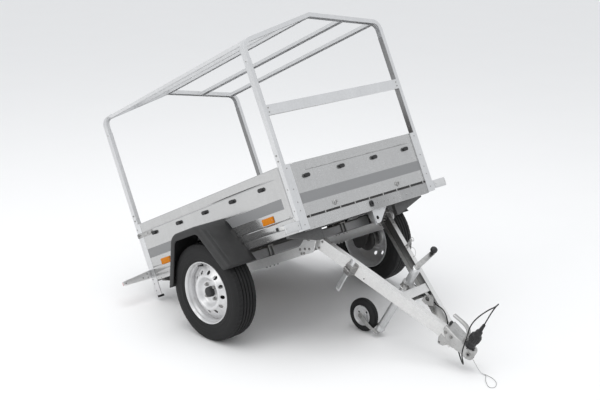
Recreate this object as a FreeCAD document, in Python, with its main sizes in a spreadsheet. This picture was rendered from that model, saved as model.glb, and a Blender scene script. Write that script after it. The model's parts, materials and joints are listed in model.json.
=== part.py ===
import FreeCAD, Part
import math
import os

import Sketcher
from FreeCAD import Placement, Rotation, Vector

# A single-axle utility trailer with a tarpaulin frame, parked with its bed tipped back and its
# drawbar folded down onto the jockey wheel. Millimetres, degrees; +X forward, +Y left, +Z up.

SIZES = [
    # How it stands
    ("bed_tilt", 25.8, "how far the bed is tipped back"),
    ("drawbar_drop", 30.5, "slope of the drawbar, nose down"),
    ("tyre_radius", 289, "road tyre, outer radius"),
    ("bed_rise", 161.7, "underside of the bed above the wheel axis"),
    # Bed
    ("bed_length", 1492, "front face to rear face"),
    ("bed_front", 747, "front face ahead of the wheel axis"),
    ("bed_width", 1132, "outside to outside"),
    ("side_height", 372, "underside of the bed to the top of its walls"),
    ("sheet", 2, "folded steel sheet"),
    ("wall_depth", 20, "depth of a folded wall"),
    ("lip_height", 18, "turned-down edge of a wall"),
    ("sill_height", 62, "underside of the bed to the underside of the floor"),
    ("sill_depth", 47, "front and rear sills, along the bed"),
    ("sill_drop", 5, "sills below the underside of the bed"),
    ("floor_board", 11, "thickness of the floor"),
    ("front_post_face", 60, "front corner post, width of its front face"),
    ("front_post_side", 30, "front corner post, width of its side face"),
    ("rear_post_face", 40, "rear corner post, width of its rear face"),
    ("rear_post_side", 54, "rear corner post, width of its side face"),
    ("rear_post_drop", 92, "rear corner posts below the bed"),
    ("foot_height", 14, "rubber foot of a rear post"),
    ("running_gap", 5, "clearance between pieces that move past each other"),
    ("pin_gap", 0.3, "clearance of a shaft in its bore"),
    ("gate_axis_back", 6, "tailgate hinge behind the rear face"),
    ("gate_axis_height", 68, "tailgate hinge above the underside of the bed"),
    ("knuckle", 5.5, "tailgate hinge barrel, outer radius"),
    ("gate_pin", 3, "tailgate hinge pin"),
    ("gate_hinge_place", 380, "outer tailgate hinges from the centre line"),
    # Tarpaulin frame
    ("hoop_height", 715, "eaves of the hoops above the walls"),
    ("hoop_rise", 104, "ridge of the hoops above the eaves"),
    ("hoop_face", 25, "hoop section, in the plane of the hoop"),
    ("hoop_depth", 35, "hoop section, along the bed"),
    ("hoop_round", 70, "outer radius at the eaves"),
    ("sleeve_length", 610, "closed lower part of a hoop's legs"),
    ("bar_width", 35, "roof bar, width"),
    ("bar_height", 20, "roof bar, height"),
    ("bar_place", 275, "middle roof bars from the centre line"),
    ("eave_place", 520, "eave bars from the centre line"),
    ("crossbar_top", 339, "top of the front crossbar above the walls"),
    ("crossbar_height", 58, "height of the front crossbar"),
    # Chassis
    ("rail_outer", 333, "outer face of a chassis rail from the centre line"),
    ("rail_width", 42, "flange of a chassis rail"),
    ("rail_height", 54, "height of a chassis rail"),
    ("rail_front", 480, "front end of the rails ahead of the wheel axis"),
    ("beam_height", 74, "cross beams, from the bed down to the rails"),
    ("beam_tip", 12, "height of a cross beam at its ends"),
    ("beam_depth", 26, "cross beams, along the bed"),
    ("front_beam", 600, "rear face of the front cross beam ahead of the wheel axis"),
    ("front_beam_drop", 8, "front cross beam below the bed, over the drawbar"),
    ("front_beam_leg", 20, "width of the front beam's feet beside the drawbar"),
    ("rear_beam", 640, "rear face of the rear cross beam behind the wheel axis"),
    ("axle_tube", 60, "square axle tube"),
    ("axle_wall", 5, "wall of the axle tube"),
    ("axle_ahead", 120, "axle tube ahead of the wheel axis"),
    ("swing_arm", 12, "thickness of a swing arm"),
    ("swing_place", 548, "inner face of a swing arm from the centre line"),
    ("stub_radius", 17.5, "stub axle"),
    # Wheels
    ("wheel_place", 682, "middle of a wheel from the centre line"),
    ("tyre_width", 157, "road tyre, width"),
    ("rim_radius", 178, "seat of the tyre on the rim"),
    ("rim_sheet", 4, "thickness of the wheel disc"),
    ("disc_holes", 12, "vent holes of the wheel disc"),
    ("disc_hole_radius", 12, "one vent hole"),
    ("disc_hole_place", 128, "vent holes from the wheel's axis"),
    ("hub_radius", 58, "hub flange"),
    ("cap_radius", 27, "hub cap"),
    # Tarpaulin hooks
    ("hook_width", 42, "tarpaulin hook, along its wall"),
    ("hook_height", 26, "tarpaulin hook, height"),
    ("hook_depth", 16, "tarpaulin hook, out from its wall"),
    ("hook_drop", 85, "middle of a hook below the top of its wall"),
    ("side_hook_step", 271, "spacing of the hooks along a side"),
    ("side_hook_shift", 14, "middle side hook behind the wheel axis"),
    ("front_hook_step", 277, "spacing of the hooks across the front"),
    # Mudguards
    ("guard_outer", 780, "outer edge of a mudguard from the centre line"),
    ("guard_foot", 93, "lower ends of a mudguard above the wheel axis"),
    ("guard_top", 380, "top of a mudguard above the wheel axis"),
    ("guard_rear", 297, "rear end behind the wheel axis"),
    ("guard_front", 305, "front end ahead of the wheel axis"),
    ("guard_top_rear", 124, "rear end of the flat top behind the wheel axis"),
    ("guard_top_front", 143, "front end of the flat top ahead of the wheel axis"),
    ("guard_wall", 4, "moulded wall"),
    ("guard_lip", 30, "turned-in outer edge"),
    # Drawbar
    ("hinge_ahead", 535, "drawbar hinge ahead of the wheel axis, along the bed"),
    ("hinge_drop", 45, "drawbar hinge below the bed"),
    ("arm_spread", 316, "outer face of an arm from the centre line, at the hinge"),
    ("arm_taper", 0.33, "how fast the arms close in"),
    ("arm_top", 30, "top of the arms above the hinge"),
    ("arm_height", 80, "height of the arms"),
    ("arm_flange", 30, "flanges of the arms"),
    ("arm_sheet", 4, "thickness of the arms"),
    ("arm_back", 30, "rear end of the arms behind the hinge"),
    ("nose_half", 42, "outer face of the arms' straight noses from the centre line"),
    ("arm_end", 935, "front end of the arms ahead of the hinge"),
    ("pivot_radius", 8, "drawbar pivot bolt"),
    ("pivot_plate", 6, "thickness of a pivot plate"),
    ("channel_back", 551, "rear face of the drawbar's cross channel ahead of the hinge"),
    ("channel_depth", 55, "cross channel, along the drawbar"),
    ("channel_low", 20, "underside of the cross channel below the hinge"),
    ("channel_high", 25, "top of the cross channel above the hinge"),
    # Coupling
    ("ball_ahead", 1035, "centre of the coupling's ball socket ahead of the hinge"),
    ("ball_radius", 25.05, "ball socket"),
    ("head_wall", 7, "wall round the ball socket"),
    ("head_low", 24, "underside of the coupling below the hinge"),
    ("head_top", 40, "top of the coupling above the hinge"),
    # Jockey wheel
    ("leg_ahead", 505, "jockey leg ahead of the hinge"),
    ("leg_radius", 24, "jockey tube, outer radius"),
    ("leg_bore", 20.3, "jockey tube, inner radius"),
    ("leg_top", 140, "top of the jockey tube above the hinge"),
    ("leg_foot", 384, "foot of the jockey tube below the hinge"),
    ("jockey_radius", 100, "jockey tyre"),
    ("jockey_half", 24.5, "half the width of the jockey tyre"),
    ("jockey_rim", 62, "jockey rim"),
    ("jockey_trail", 136, "jockey wheel behind its leg"),
    ("jockey_pin", 6, "jockey wheel's axle"),
    ("fork_plate", 4, "thickness of the fork's arms"),
]


class Size:
    """A size or place: its value now, and the expression that ties it to the sheet."""

    def __init__(self, value, text):
        self.value = float(value)
        self.text = text

    def __add__(self, other):
        other = size(other)
        return Size(self.value + other.value, f"({self.text} + {other.text})")

    def __sub__(self, other):
        other = size(other)
        return Size(self.value - other.value, f"({self.text} - {other.text})")

    def __mul__(self, other):
        other = size(other)
        return Size(self.value * other.value, f"({self.text} * {other.text})")

    def __truediv__(self, other):
        other = size(other)
        return Size(self.value / other.value, f"({self.text} / {other.text})")

    def __radd__(self, other):
        return size(other) + self

    def __rsub__(self, other):
        return size(other) - self

    def __rmul__(self, other):
        return size(other) * self

    def __neg__(self):
        return Size(-self.value, f"(0 - {self.text})")


def size(number):
    """Wrap a plain number, so that it can stand beside sizes from the sheet."""
    if isinstance(number, Size):
        return number
    return Size(number, repr(number) if number >= 0 else f"(0 - {-number!r})")


def sine(angle):
    return Size(math.sin(math.radians(angle.value)), f"sin({angle.text})")


def cosine(angle):
    return Size(math.cos(math.radians(angle.value)), f"cos({angle.text})")


class Sheet:
    """The driving dimensions: each attribute is the Size of the cell with that alias."""

    def __init__(self, doc, rows):
        self.cells = doc.addObject("Spreadsheet::Sheet", "Sizes")
        for row, (alias, value, meaning) in enumerate(rows, start=1):
            self.cells.set(f"A{row}", alias)
            self.cells.set(f"B{row}", str(value))
            self.cells.setAlias(f"B{row}", alias)
            self.cells.set(f"C{row}", meaning)
        doc.recompute()

    def __getattr__(self, alias):
        return Size(self.cells.get(alias), f"Sizes.{alias}")


doc = FreeCAD.newDocument("Trailer")
S = Sheet(doc, SIZES)
NODES = {}
PLACED = []


# ---- Frames -------------------------------------------------------------------------------

def bed_frame():
    """Along the bed: x from the wheel axis, z from the underside of the bed."""
    tipped = Placement(Vector(0, 0, S.tyre_radius.value), Rotation(Vector(0, 1, 0), -S.bed_tilt.value))
    return tipped.multiply(Placement(Vector(0, 0, S.bed_rise.value), Rotation()))


def wheel_frame(side):
    """At a wheel's centre: y outwards on the right side, which the left side mirrors."""
    return Placement(Vector(0, -side * S.wheel_place.value, S.tyre_radius.value), Rotation())


def drawbar_frame():
    """Along the drawbar: x forward and down from the hinge, z square to it."""
    hinge = BED.multVec(Vector(S.hinge_ahead.value, 0, -S.hinge_drop.value))
    return Placement(hinge, Rotation(Vector(0, 1, 0), S.drawbar_drop.value))


BED = bed_frame()
DRAWBAR = drawbar_frame()
HINGE_HEIGHT = (S.tyre_radius + S.hinge_ahead * sine(S.bed_tilt)
                + (S.bed_rise - S.hinge_drop) * cosine(S.bed_tilt))


# ---- Makers -------------------------------------------------------------------------------

def bind(feature, name, measure):
    """Set a property from a size and tie it to the sheet."""
    measure = size(measure)
    feature.setExpression(name, measure.text)


def node(label, feature):
    """Name a finished sub-part: its label is its file's name."""
    feature.Label = label
    NODES[label] = feature
    return feature


def place(feature, frame, local=None):
    feature.Placement = frame.multiply(local) if local else frame
    PLACED.append(feature)
    return feature


def new_body(name, frame):
    body = doc.addObject("PartDesign::Body", name)
    if hasattr(body, "AllowCompound"):
        body.AllowCompound = True
    return place(body, frame)


def origin_feature(body, role):
    """One of a body's own planes or axes, such as XZ_Plane or Y_Axis."""
    for feature in body.Origin.OriginFeatures:
        if feature.Role == role:
            return feature
    raise ValueError(role)


def new_sketch(body, plane, offset):
    """A sketch on one of the body's own planes, moved along the plane's normal."""
    sketch = body.newObject("Sketcher::SketchObject", body.Name + "_sketch")
    sketch.AttachmentSupport = [(origin_feature(body, plane + "_Plane"), "")]
    sketch.MapMode = "FlatFace"
    bind(sketch, "AttachmentOffset.Base.z", offset)
    return sketch


def pin_point(sketch, geometry, position, corner):
    """Tie a point of the sketch to a place given by two sizes."""
    for kind, measure in zip(("DistanceX", "DistanceY"), corner):
        measure = size(measure)
        index = sketch.addConstraint(
            Sketcher.Constraint(kind, -1, 1, geometry, position, measure.value))
        if "Sizes." in measure.text:
            sketch.setExpression(f"Constraints[{index}]", measure.text)


def draw_outline(sketch, corners):
    """A closed outline. A corner is (a, b) or, where it is rounded, (a, b, radius)."""
    points = [Vector(size(corner[0]).value, size(corner[1]).value, 0) for corner in corners]
    rounds = [size(corner[2]) if len(corner) > 2 else None for corner in corners]
    count = len(points)
    enter, leave = list(points), list(points)
    arcs = {}
    for i, rounding in enumerate(rounds):
        if rounding is None:
            continue
        back = (points[i - 1] - points[i]).normalize()
        ahead = (points[(i + 1) % count] - points[i]).normalize()
        half = back.getAngle(ahead) / 2
        reach = rounding.value / math.tan(half)
        enter[i] = points[i] + back * reach
        leave[i] = points[i] + ahead * reach
        centre = points[i] + (back + ahead).normalize() * (rounding.value / math.sin(half))
        turns_left = back.cross(ahead).z < 0
        first, last = (enter[i], leave[i]) if turns_left else (leave[i], enter[i])
        angles = [math.atan2(p.y - centre.y, p.x - centre.x) for p in (first, last)]
        circle = Part.Circle(centre, Vector(0, 0, 1), rounding.value)
        arcs[i] = (sketch.addGeometry(Part.ArcOfCircle(circle, *angles), False), turns_left)
    lines = [sketch.addGeometry(Part.LineSegment(leave[i], enter[(i + 1) % count]), False)
             for i in range(count)]
    for i in range(count):
        before, after = lines[i - 1], lines[i]
        if i not in arcs:
            sketch.addConstraint(Sketcher.Constraint("Coincident", before, 2, after, 1))
            pin_point(sketch, after, 1, corners[i])
            continue
        arc, turns_left = arcs[i]
        first, last = (1, 2) if turns_left else (2, 1)
        sketch.addConstraint(Sketcher.Constraint("Tangent", before, 2, arc, first))
        sketch.addConstraint(Sketcher.Constraint("Tangent", arc, last, after, 1))
        index = sketch.addConstraint(Sketcher.Constraint("Radius", arc, rounds[i].value))
        sketch.setExpression(f"Constraints[{index}]", rounds[i].text)
        tip = sketch.addGeometry(Part.Point(points[i]), True)
        sketch.addConstraint(Sketcher.Constraint("PointOnObject", tip, 1, before))
        sketch.addConstraint(Sketcher.Constraint("PointOnObject", tip, 1, after))
        pin_point(sketch, tip, 1, corners[i])


def draw_circle(sketch, centre, radius):
    radius = size(radius)
    middle = Vector(size(centre[0]).value, size(centre[1]).value, 0)
    circle = sketch.addGeometry(Part.Circle(middle, Vector(0, 0, 1), radius.value), False)
    pin_point(sketch, circle, 3, centre)
    index = sketch.addConstraint(Sketcher.Constraint("Radius", circle, radius.value))
    sketch.setExpression(f"Constraints[{index}]", radius.text)


def raise_slab(body, plane, low, high, draw, kind="PartDesign::Pad"):
    """Pad or pocket what draw(sketch) draws, from low to high along the body's own axis."""
    low, high = size(low), size(high)
    offset = -high if plane == "XZ" else low
    sketch = new_sketch(body, plane, offset)
    draw(sketch)
    feature = body.newObject(kind, body.Name + "_slab")
    feature.Profile = sketch
    bind(feature, "Length", high - low)
    if kind.endswith("Pocket"):
        feature.Reversed = True
    body.Tip = feature
    return feature


def slab(body, plane, low, high, corners):
    return raise_slab(body, plane, low, high, lambda sketch: draw_outline(sketch, corners))


def cut_slab(body, plane, low, high, corners):
    return raise_slab(body, plane, low, high, lambda sketch: draw_outline(sketch, corners),
                      "PartDesign::Pocket")


def disc(body, plane, low, high, centre, radius):
    return raise_slab(body, plane, low, high, lambda sketch: draw_circle(sketch, centre, radius))


def bore(body, plane, low, high, centre, radius):
    return raise_slab(body, plane, low, high, lambda sketch: draw_circle(sketch, centre, radius),
                      "PartDesign::Pocket")


def turned(body, corners):
    """A solid of revolution about the body's Y axis. Corners are (along the axis, radius)."""
    sketch = new_sketch(body, "YZ", 0)
    draw_outline(sketch, corners)
    feature = body.newObject("PartDesign::Revolution", body.Name + "_turned")
    feature.Profile = sketch
    feature.ReferenceAxis = (sketch, ["H_Axis"])
    feature.Angle = 360
    body.Tip = feature
    return feature


def spun(body, corners):
    """A solid of revolution about the body's Z axis. Corners are (radius, height)."""
    sketch = new_sketch(body, "YZ", 0)
    draw_outline(sketch, corners)
    feature = body.newObject("PartDesign::Revolution", body.Name + "_spun")
    feature.Profile = sketch
    feature.ReferenceAxis = (sketch, ["V_Axis"])
    feature.Angle = 360
    body.Tip = feature
    return feature


def box(name, frame, low, high):
    """A block between two corners of its frame."""
    feature = doc.addObject("Part::Box", name)
    for side, a, b in zip(("Length", "Width", "Height"), low, high):
        bind(feature, side, size(b) - a)
    corner = Vector(*[size(a).value for a in low])
    return place(feature, frame, Placement(corner, Rotation()))


def group(name, pieces):
    feature = doc.addObject("Part::Compound", name)
    feature.Links = pieces
    return feature


def mirrored(name, source):
    """The same piece on the other side of the trailer."""
    feature = doc.addObject("Part::Mirroring", name)
    feature.Source = source
    feature.Normal = Vector(0, 1, 0)
    return feature


def pair(name, source):
    """A right-hand piece and its left-hand twin, as one node."""
    return node(name, group(name, [source, mirrored(name + "_left", source)]))


def twins(name, source):
    """A right-hand piece and its left-hand twin, as two nodes."""
    node(name + "_right", source)
    return node(name + "_left", mirrored(name + "_left", source))


# ---- Bed ----------------------------------------------------------------------------------

FRONT = S.bed_front
REAR = S.bed_front - S.bed_length
HALF = S.bed_width / 2
FLOOR_TOP = S.sill_height + S.floor_board
FRONT_INNER = HALF - S.front_post_face
REAR_INNER = HALF - S.rear_post_face
GATE_FRONT = REAR + S.wall_depth
GATE_AXIS = (REAR - S.gate_axis_back, S.gate_axis_height)
GATE_HINGES = (-S.gate_hinge_place, size(0), S.gate_hinge_place)


def folded_wall(face, inward, low, foot):
    """Section of a folded wall: a sheet with its top turned in and down, and a foot turned in.

    face is the outer face's place across the wall, inward is +1 or -1.
    """
    sheet = S.sheet * inward
    depth = S.wall_depth * inward
    top = S.side_height
    return [
        (face, low),
        (face, top),
        (face + depth, top),
        (face + depth, top - S.lip_height),
        (face + depth - sheet, top - S.lip_height),
        (face + depth - sheet, top - S.sheet),
        (face + sheet, top - S.sheet),
        (face + sheet, low + S.sheet),
        (face + foot * inward, low + S.sheet),
        (face + foot * inward, low),
    ]


def make_floor():
    body = new_body("floor", BED)
    edge = HALF - S.sheet
    slab(body, "XY", S.sill_height, FLOOR_TOP, [
        (GATE_FRONT + S.running_gap, -edge),
        (FRONT - 2 * S.sheet, -edge),
        (FRONT - 2 * S.sheet, edge),
        (GATE_FRONT + S.running_gap, edge),
    ])
    node("floor_board", body)


def make_walls():
    side = new_body("side_panel", BED)
    slab(side, "YZ", REAR + S.rear_post_side, FRONT - S.front_post_side,
         folded_wall(-HALF, 1, size(0), S.rear_post_face))
    twins("side_panel", side)

    front = new_body("front_panel", BED)
    slab(front, "XZ", -FRONT_INNER, FRONT_INNER, folded_wall(FRONT, -1, S.sill_height, 2 * S.sheet))
    node("front_panel", front)


def sill_section(face, inward):
    """A channel with its web at the face and its open side to the middle of the bed."""
    sheet = S.sheet * inward
    back = face + S.sill_depth * inward
    low, high = -S.sill_drop, S.sill_height
    return [
        (face, low),
        (face, high),
        (back, high),
        (back, high - S.sheet),
        (face + sheet, high - S.sheet),
        (face + sheet, low + S.sheet),
        (back, low + S.sheet),
        (back, low),
    ]


def hinge_knuckle(body, low, high, leaf_low, leaf_high):
    """A barrel on the tailgate's axis, with the leaf that holds it to the sill or the gate."""
    disc(body, "XZ", low, high, GATE_AXIS, S.knuckle)
    slab(body, "XZ", low, high, [
        (REAR - S.sheet, leaf_low),
        (REAR, leaf_low),
        (REAR, leaf_high),
        (REAR - S.sheet, leaf_high),
    ])


def make_sills():
    front = new_body("front_sill", BED)
    slab(front, "XZ", -FRONT_INNER, FRONT_INNER, sill_section(FRONT, -1))
    node("front_sill", front)
    rear = new_body("rear_sill", BED)
    slab(rear, "XZ", -REAR_INNER, REAR_INNER, sill_section(REAR, 1))
    for place_across in GATE_HINGES:
        for low, high in ((-30, -11), (11, 30)):
            hinge_knuckle(rear, place_across + low, place_across + high, 22, S.sill_height + 4)
        disc(rear, "XZ", place_across - 30, place_across + 30, GATE_AXIS, S.gate_pin)
    node("rear_sill", rear)


def make_posts():
    front = new_body("front_post", BED)
    slab(front, "XY", 0, S.side_height, [
        (FRONT, -HALF),
        (FRONT, -FRONT_INNER),
        (FRONT - S.sheet, -FRONT_INNER),
        (FRONT - S.sheet, S.sheet - HALF),
        (FRONT - S.front_post_side, S.sheet - HALF),
        (FRONT - S.front_post_side, -HALF),
    ])
    pair("front_corner_posts", front)

    rear = new_body("rear_post", BED)
    slab(rear, "XY", -S.rear_post_drop, S.side_height, [
        (REAR, -HALF),
        (REAR + S.rear_post_side, -HALF),
        (REAR + S.rear_post_side, S.sheet - HALF),
        (REAR + S.sheet, S.sheet - HALF),
        (REAR + S.sheet, -REAR_INNER),
        (REAR, -REAR_INNER),
    ])
    pair("rear_corner_posts", rear)

    foot = new_body("post_foot", BED)
    slab(foot, "XY", -S.rear_post_drop - S.foot_height, -S.rear_post_drop, [
        (REAR, -HALF, 6),
        (REAR + S.rear_post_side / 2, -HALF, 6),
        (REAR + S.rear_post_side / 2, S.rear_post_face - HALF, 6),
        (REAR, S.rear_post_face - HALF, 6),
    ])
    pair("post_feet", foot)


def hoop_outline(half, foot, eave, ridge, rounding):
    return [
        (-half, foot),
        (-half, eave, rounding),
        (0, ridge),
        (half, eave, rounding),
        (half, foot),
    ]


def make_hoop(label, low, high, flange_low, flange_high):
    """A gabled hoop of channel section, open to its inside, with closed lower legs.

    low and high are its faces along the bed; the flanges lie between each face and its own
    inner side, flange_low and flange_high.
    """
    body = new_body(label, BED)
    foot = S.side_height
    eave = foot + S.hoop_height
    ridge = eave + S.hoop_rise
    slope = S.hoop_rise / HALF
    inner_half = HALF - S.hoop_face
    drop = S.hoop_face * 1.017
    inner_eave = eave - drop + slope * S.hoop_face
    ring = hoop_outline(HALF, foot, eave, ridge, S.hoop_round)
    inner_ring = hoop_outline(inner_half, foot, inner_eave, ridge - drop,
                              S.hoop_round - S.hoop_face)
    slab(body, "YZ", low, high, ring + inner_ring[::-1])
    web = S.sheet
    web_half = HALF - web
    web_ring = hoop_outline(web_half, foot + S.sleeve_length, eave - web * 1.017 + slope * web,
                            ridge - web * 1.017, S.hoop_round - web)
    past_half = inner_half - web
    past_ring = hoop_outline(past_half, foot + S.sleeve_length, inner_eave, ridge - 2 * drop,
                             S.hoop_round - S.hoop_face)
    cut_slab(body, "YZ", flange_low, flange_high, web_ring + past_ring[::-1])
    node(label, body)


def make_hoops():
    make_hoop("front_hoop", FRONT - S.hoop_depth, FRONT,
              FRONT - S.hoop_depth + S.sheet, FRONT - S.sheet)
    make_hoop("rear_hoop", REAR, REAR + S.hoop_depth, REAR + S.sheet, REAR + S.hoop_depth - S.sheet)

    bar = new_body("front_crossbar", BED)
    low = S.side_height + S.crossbar_top - S.crossbar_height
    high = S.side_height + S.crossbar_top
    back = FRONT - S.wall_depth
    edge = HALF - S.hoop_face
    slab(bar, "XZ", -edge, edge, [
        (FRONT, low),
        (FRONT, high),
        (back, high),
        (back, high - S.sheet),
        (FRONT - S.sheet, high - S.sheet),
        (FRONT - S.sheet, low + S.sheet),
        (back, low + S.sheet),
        (back, low),
    ])
    node("front_crossbar", bar)


def make_roof_bars():
    """Ridge, middle and eave bars: channels open downwards, under the line of the hoops."""
    ridge = S.side_height + S.hoop_height + S.hoop_rise - S.sheet
    slope = S.hoop_rise / HALF
    tilt = math.degrees(math.atan(slope.value))
    back, front = REAR + S.hoop_depth, FRONT - S.hoop_depth
    bars = []
    rows = [("ridge_bar", size(0), 0), ("middle_bar", -S.bar_place, 1), ("eave_bar", -S.eave_place, 1)]
    for name, across, leans in rows:
        height = ridge + slope * across - (S.hoop_face - S.bar_height) / 2
        lean = Placement(Vector(0, across.value, height.value), Rotation(Vector(1, 0, 0), leans * tilt))
        body = new_body(name, BED.multiply(lean))
        side = S.bar_width / 2
        slab(body, "YZ", back, front, [
            (-side, -S.bar_height),
            (-side, 0),
            (side, 0),
            (side, -S.bar_height),
            (side - S.sheet, -S.bar_height),
            (side - S.sheet, -S.sheet),
            (S.sheet - side, -S.sheet),
            (S.sheet - side, -S.bar_height),
        ])
        bars.append(body)
        if leans:
            bars.append(mirrored(name + "_left", body))
    node("roof_bars", group("roof_bars", bars))


def make_gate():
    """The drop-down tailgate, with the middle barrels of its three hinges."""
    half = REAR_INNER - S.running_gap
    body = new_body("tailgate", BED)
    low = S.sill_height + S.running_gap
    slab(body, "XZ", -half, half, folded_wall(REAR, 1, low, S.wall_depth))
    for place_across in GATE_HINGES:
        start, end = place_across - 10.5, place_across + 10.5
        hinge_knuckle(body, start, end, low + 3, low + 43)
        bore(body, "XZ", start, end, GATE_AXIS, S.gate_pin + S.pin_gap)
    node("tailgate", body)


# ---- Chassis ------------------------------------------------------------------------------

def make_rails():
    rail = new_body("rail", BED)
    top = -S.beam_height
    low = top - S.rail_height
    face = -S.rail_outer
    inner = face + S.rail_width
    slab(rail, "YZ", REAR + S.sill_depth, S.rail_front, [
        (face, low),
        (face, top),
        (inner, top),
        (inner, top - S.sheet),
        (face + S.sheet, top - S.sheet),
        (face + S.sheet, low + S.sheet),
        (inner, low + S.sheet),
        (inner, low),
    ])
    twins("chassis_rail", rail)


def both_sides(corners):
    """An outline given from its top middle down its right-hand side, closed by its reflection."""
    return corners + [(-across, height) for across, height in reversed(corners)]


def make_cross_beam(name, back, outline, trough):
    """A pressed beam with a full front face and a turned edge all round."""
    body = new_body(name, BED)
    slab(body, "YZ", back, back + S.beam_depth, both_sides(outline))
    cut_slab(body, "YZ", back, back + S.beam_depth - S.sheet, both_sides(trough))
    return body


def make_cross_beams():
    """Front and rear beams, tapering to the sides. The front one bridges the folded-up drawbar."""
    sheet = S.sheet
    tuck = sheet + S.pin_gap - HALF + S.rear_post_face
    low = -S.beam_height
    outline = [
        (tuck, S.sill_height),
        (tuck, 0),
        (sheet - HALF, 0),
        (sheet - HALF, -S.beam_tip),
        (-S.rail_outer, low),
    ]
    trough = [
        (tuck + sheet, S.sill_height - sheet),
        (tuck + sheet, -sheet),
    ]
    step = S.front_beam_leg - S.rail_outer
    roof = -S.front_beam_drop
    front = make_cross_beam("front_beam", S.front_beam, outline + [(step, low), (step, roof)], trough + [
        (sheet - S.rail_outer, low + sheet),
        (step - sheet, low + sheet),
        (step - sheet, roof + sheet),
    ])
    rear = make_cross_beam("rear_beam", -S.rear_beam, outline, trough + [
        (S.rail_width - S.rail_outer, low + sheet),
    ])
    node("cross_beams", group("cross_beams", [front, rear]))


def make_axle():
    """A square tube across the rails, with a swing arm and stub axle at each end."""
    middle = S.axle_ahead
    low = -S.beam_height
    high = low + S.axle_tube
    tube = new_body("axle_tube", BED)

    def square(inset, rounding):
        half = S.axle_tube / 2 - inset
        return [
            (middle - half, low + inset, rounding),
            (middle + half, low + inset, rounding),
            (middle + half, high - inset, rounding),
            (middle - half, high - inset, rounding),
        ]

    slab(tube, "XZ", -S.swing_place, S.swing_place, square(size(0), 9))
    cut_slab(tube, "XZ", -S.swing_place, S.swing_place, square(S.axle_wall, 4))
    node("axle_tube", tube)

    arm = new_body("swing_arm", BED)
    centre = -S.bed_rise
    slab(arm, "XZ", -S.swing_place - S.swing_arm, -S.swing_place, [
        (middle + 38, high + 6, 20),
        (middle + 38, low - 10, 30),
        (38, centre - 42, 35),
        (-42, centre - 42, 40),
        (-42, centre + 36, 35),
        (middle - 48, high + 6, 25),
    ])
    disc(arm, "XZ", -S.wheel_place + 64, -S.swing_place - S.swing_arm, (0, centre), 30)
    disc(arm, "XZ", -S.wheel_place - 33, -S.wheel_place + 64, (0, centre), S.stub_radius)
    twins("swing_arm", arm)


# ---- Wheels -------------------------------------------------------------------------------

def make_wheel():
    """Tyre, rim and hub about the wheel's own axis; -y is the outside of the right wheel."""
    frame = wheel_frame(1)
    half = S.tyre_width / 2
    tread = half - 17
    seat = 62
    tyre = new_body("tyre", frame)
    turned(tyre, [
        (-seat, S.rim_radius),
        (-half, S.rim_radius + 32, 22),
        (-half, S.tyre_radius - 34, 22),
        (-tread, S.tyre_radius, 14),
        (tread, S.tyre_radius, 14),
        (half, S.tyre_radius - 34, 22),
        (half, S.rim_radius + 32, 22),
        (seat, S.rim_radius),
    ])
    twins("tyre", tyre)

    rim = new_body("rim", frame)
    barrel = S.rim_radius - 8
    edge = seat + 10
    turned(rim, [
        (-edge, barrel),
        (-edge, S.rim_radius + 6),
        (-edge + 6, S.rim_radius + 6),
        (-seat - 0.4, S.rim_radius - 0.2),
        (seat + 0.4, S.rim_radius - 0.2),
        (edge - 6, S.rim_radius + 6),
        (edge, S.rim_radius + 6),
        (edge, barrel),
    ])
    face = -38
    turned(rim, [
        (face, barrel + 1),
        (face, 92),
        (face + 12, 80),
        (face + 12, S.cap_radius + 3),
        (face + 12 + S.rim_sheet, S.cap_radius + 3),
        (face + 12 + S.rim_sheet, 82),
        (face + S.rim_sheet, 94),
        (face + S.rim_sheet, barrel + 1),
    ])
    doc.recompute()
    hole = bore(rim, "XZ", face - 2, face + S.rim_sheet + 2, (0, S.disc_hole_place), S.disc_hole_radius)
    ring = rim.newObject("PartDesign::PolarPattern", "disc_holes")
    ring.Originals = [hole]
    ring.Axis = (origin_feature(rim, "Y_Axis"), [""])
    ring.Angle = 360
    bind(ring, "Occurrences", S.disc_holes)
    rim.Tip = ring
    twins("rim", rim)

    hub = new_body("hub", frame)
    bearing = S.stub_radius + S.pin_gap
    disc_back = face + 12 + S.rim_sheet
    cap_end = face - 14
    turned(hub, [
        (cap_end, 0),
        (cap_end, S.cap_radius, 5),
        (disc_back, S.cap_radius),
        (disc_back, S.hub_radius),
        (disc_back + 14, S.hub_radius),
        (disc_back + 20, 40),
        (60, 40),
        (60, bearing),
        (-36, bearing),
        (-36, 0),
    ])
    twins("hub", hub)


def make_mudguard():
    """A moulded arch over the wheel, flat on top, with a turned-in outer edge."""
    body = new_body("mudguard", BED)
    foot = S.guard_foot - S.bed_rise
    top = S.guard_top - S.bed_rise
    rise = S.guard_top - S.guard_foot
    rear_lean = (S.guard_rear - S.guard_top_rear) / rise
    front_lean = (S.guard_front - S.guard_top_front) / rise

    def arch(wall, rounding):
        """The arch's outline, moved in by a wall; the sloped legs need a little more."""
        across = wall * 1.17
        return [
            (across - S.guard_rear, foot),
            (across - S.guard_top_rear - rear_lean * wall, top - wall, rounding),
            (S.guard_top_front - across + front_lean * wall, top - wall, rounding),
            (S.guard_front - across, foot),
        ]

    inner = -HALF
    outer = -S.guard_outer
    shell = arch(size(0), 85)
    slab(body, "XZ", outer, inner, shell + arch(S.guard_wall, 81)[::-1])
    slab(body, "XZ", outer, outer + S.guard_wall, shell + arch(S.guard_lip, 60)[::-1])
    twins("mudguard", body)


# ---- Drawbar ------------------------------------------------------------------------------

ARM_LOW = S.arm_top - S.arm_height
BEND = (S.arm_spread - S.nose_half) / S.arm_taper


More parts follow.
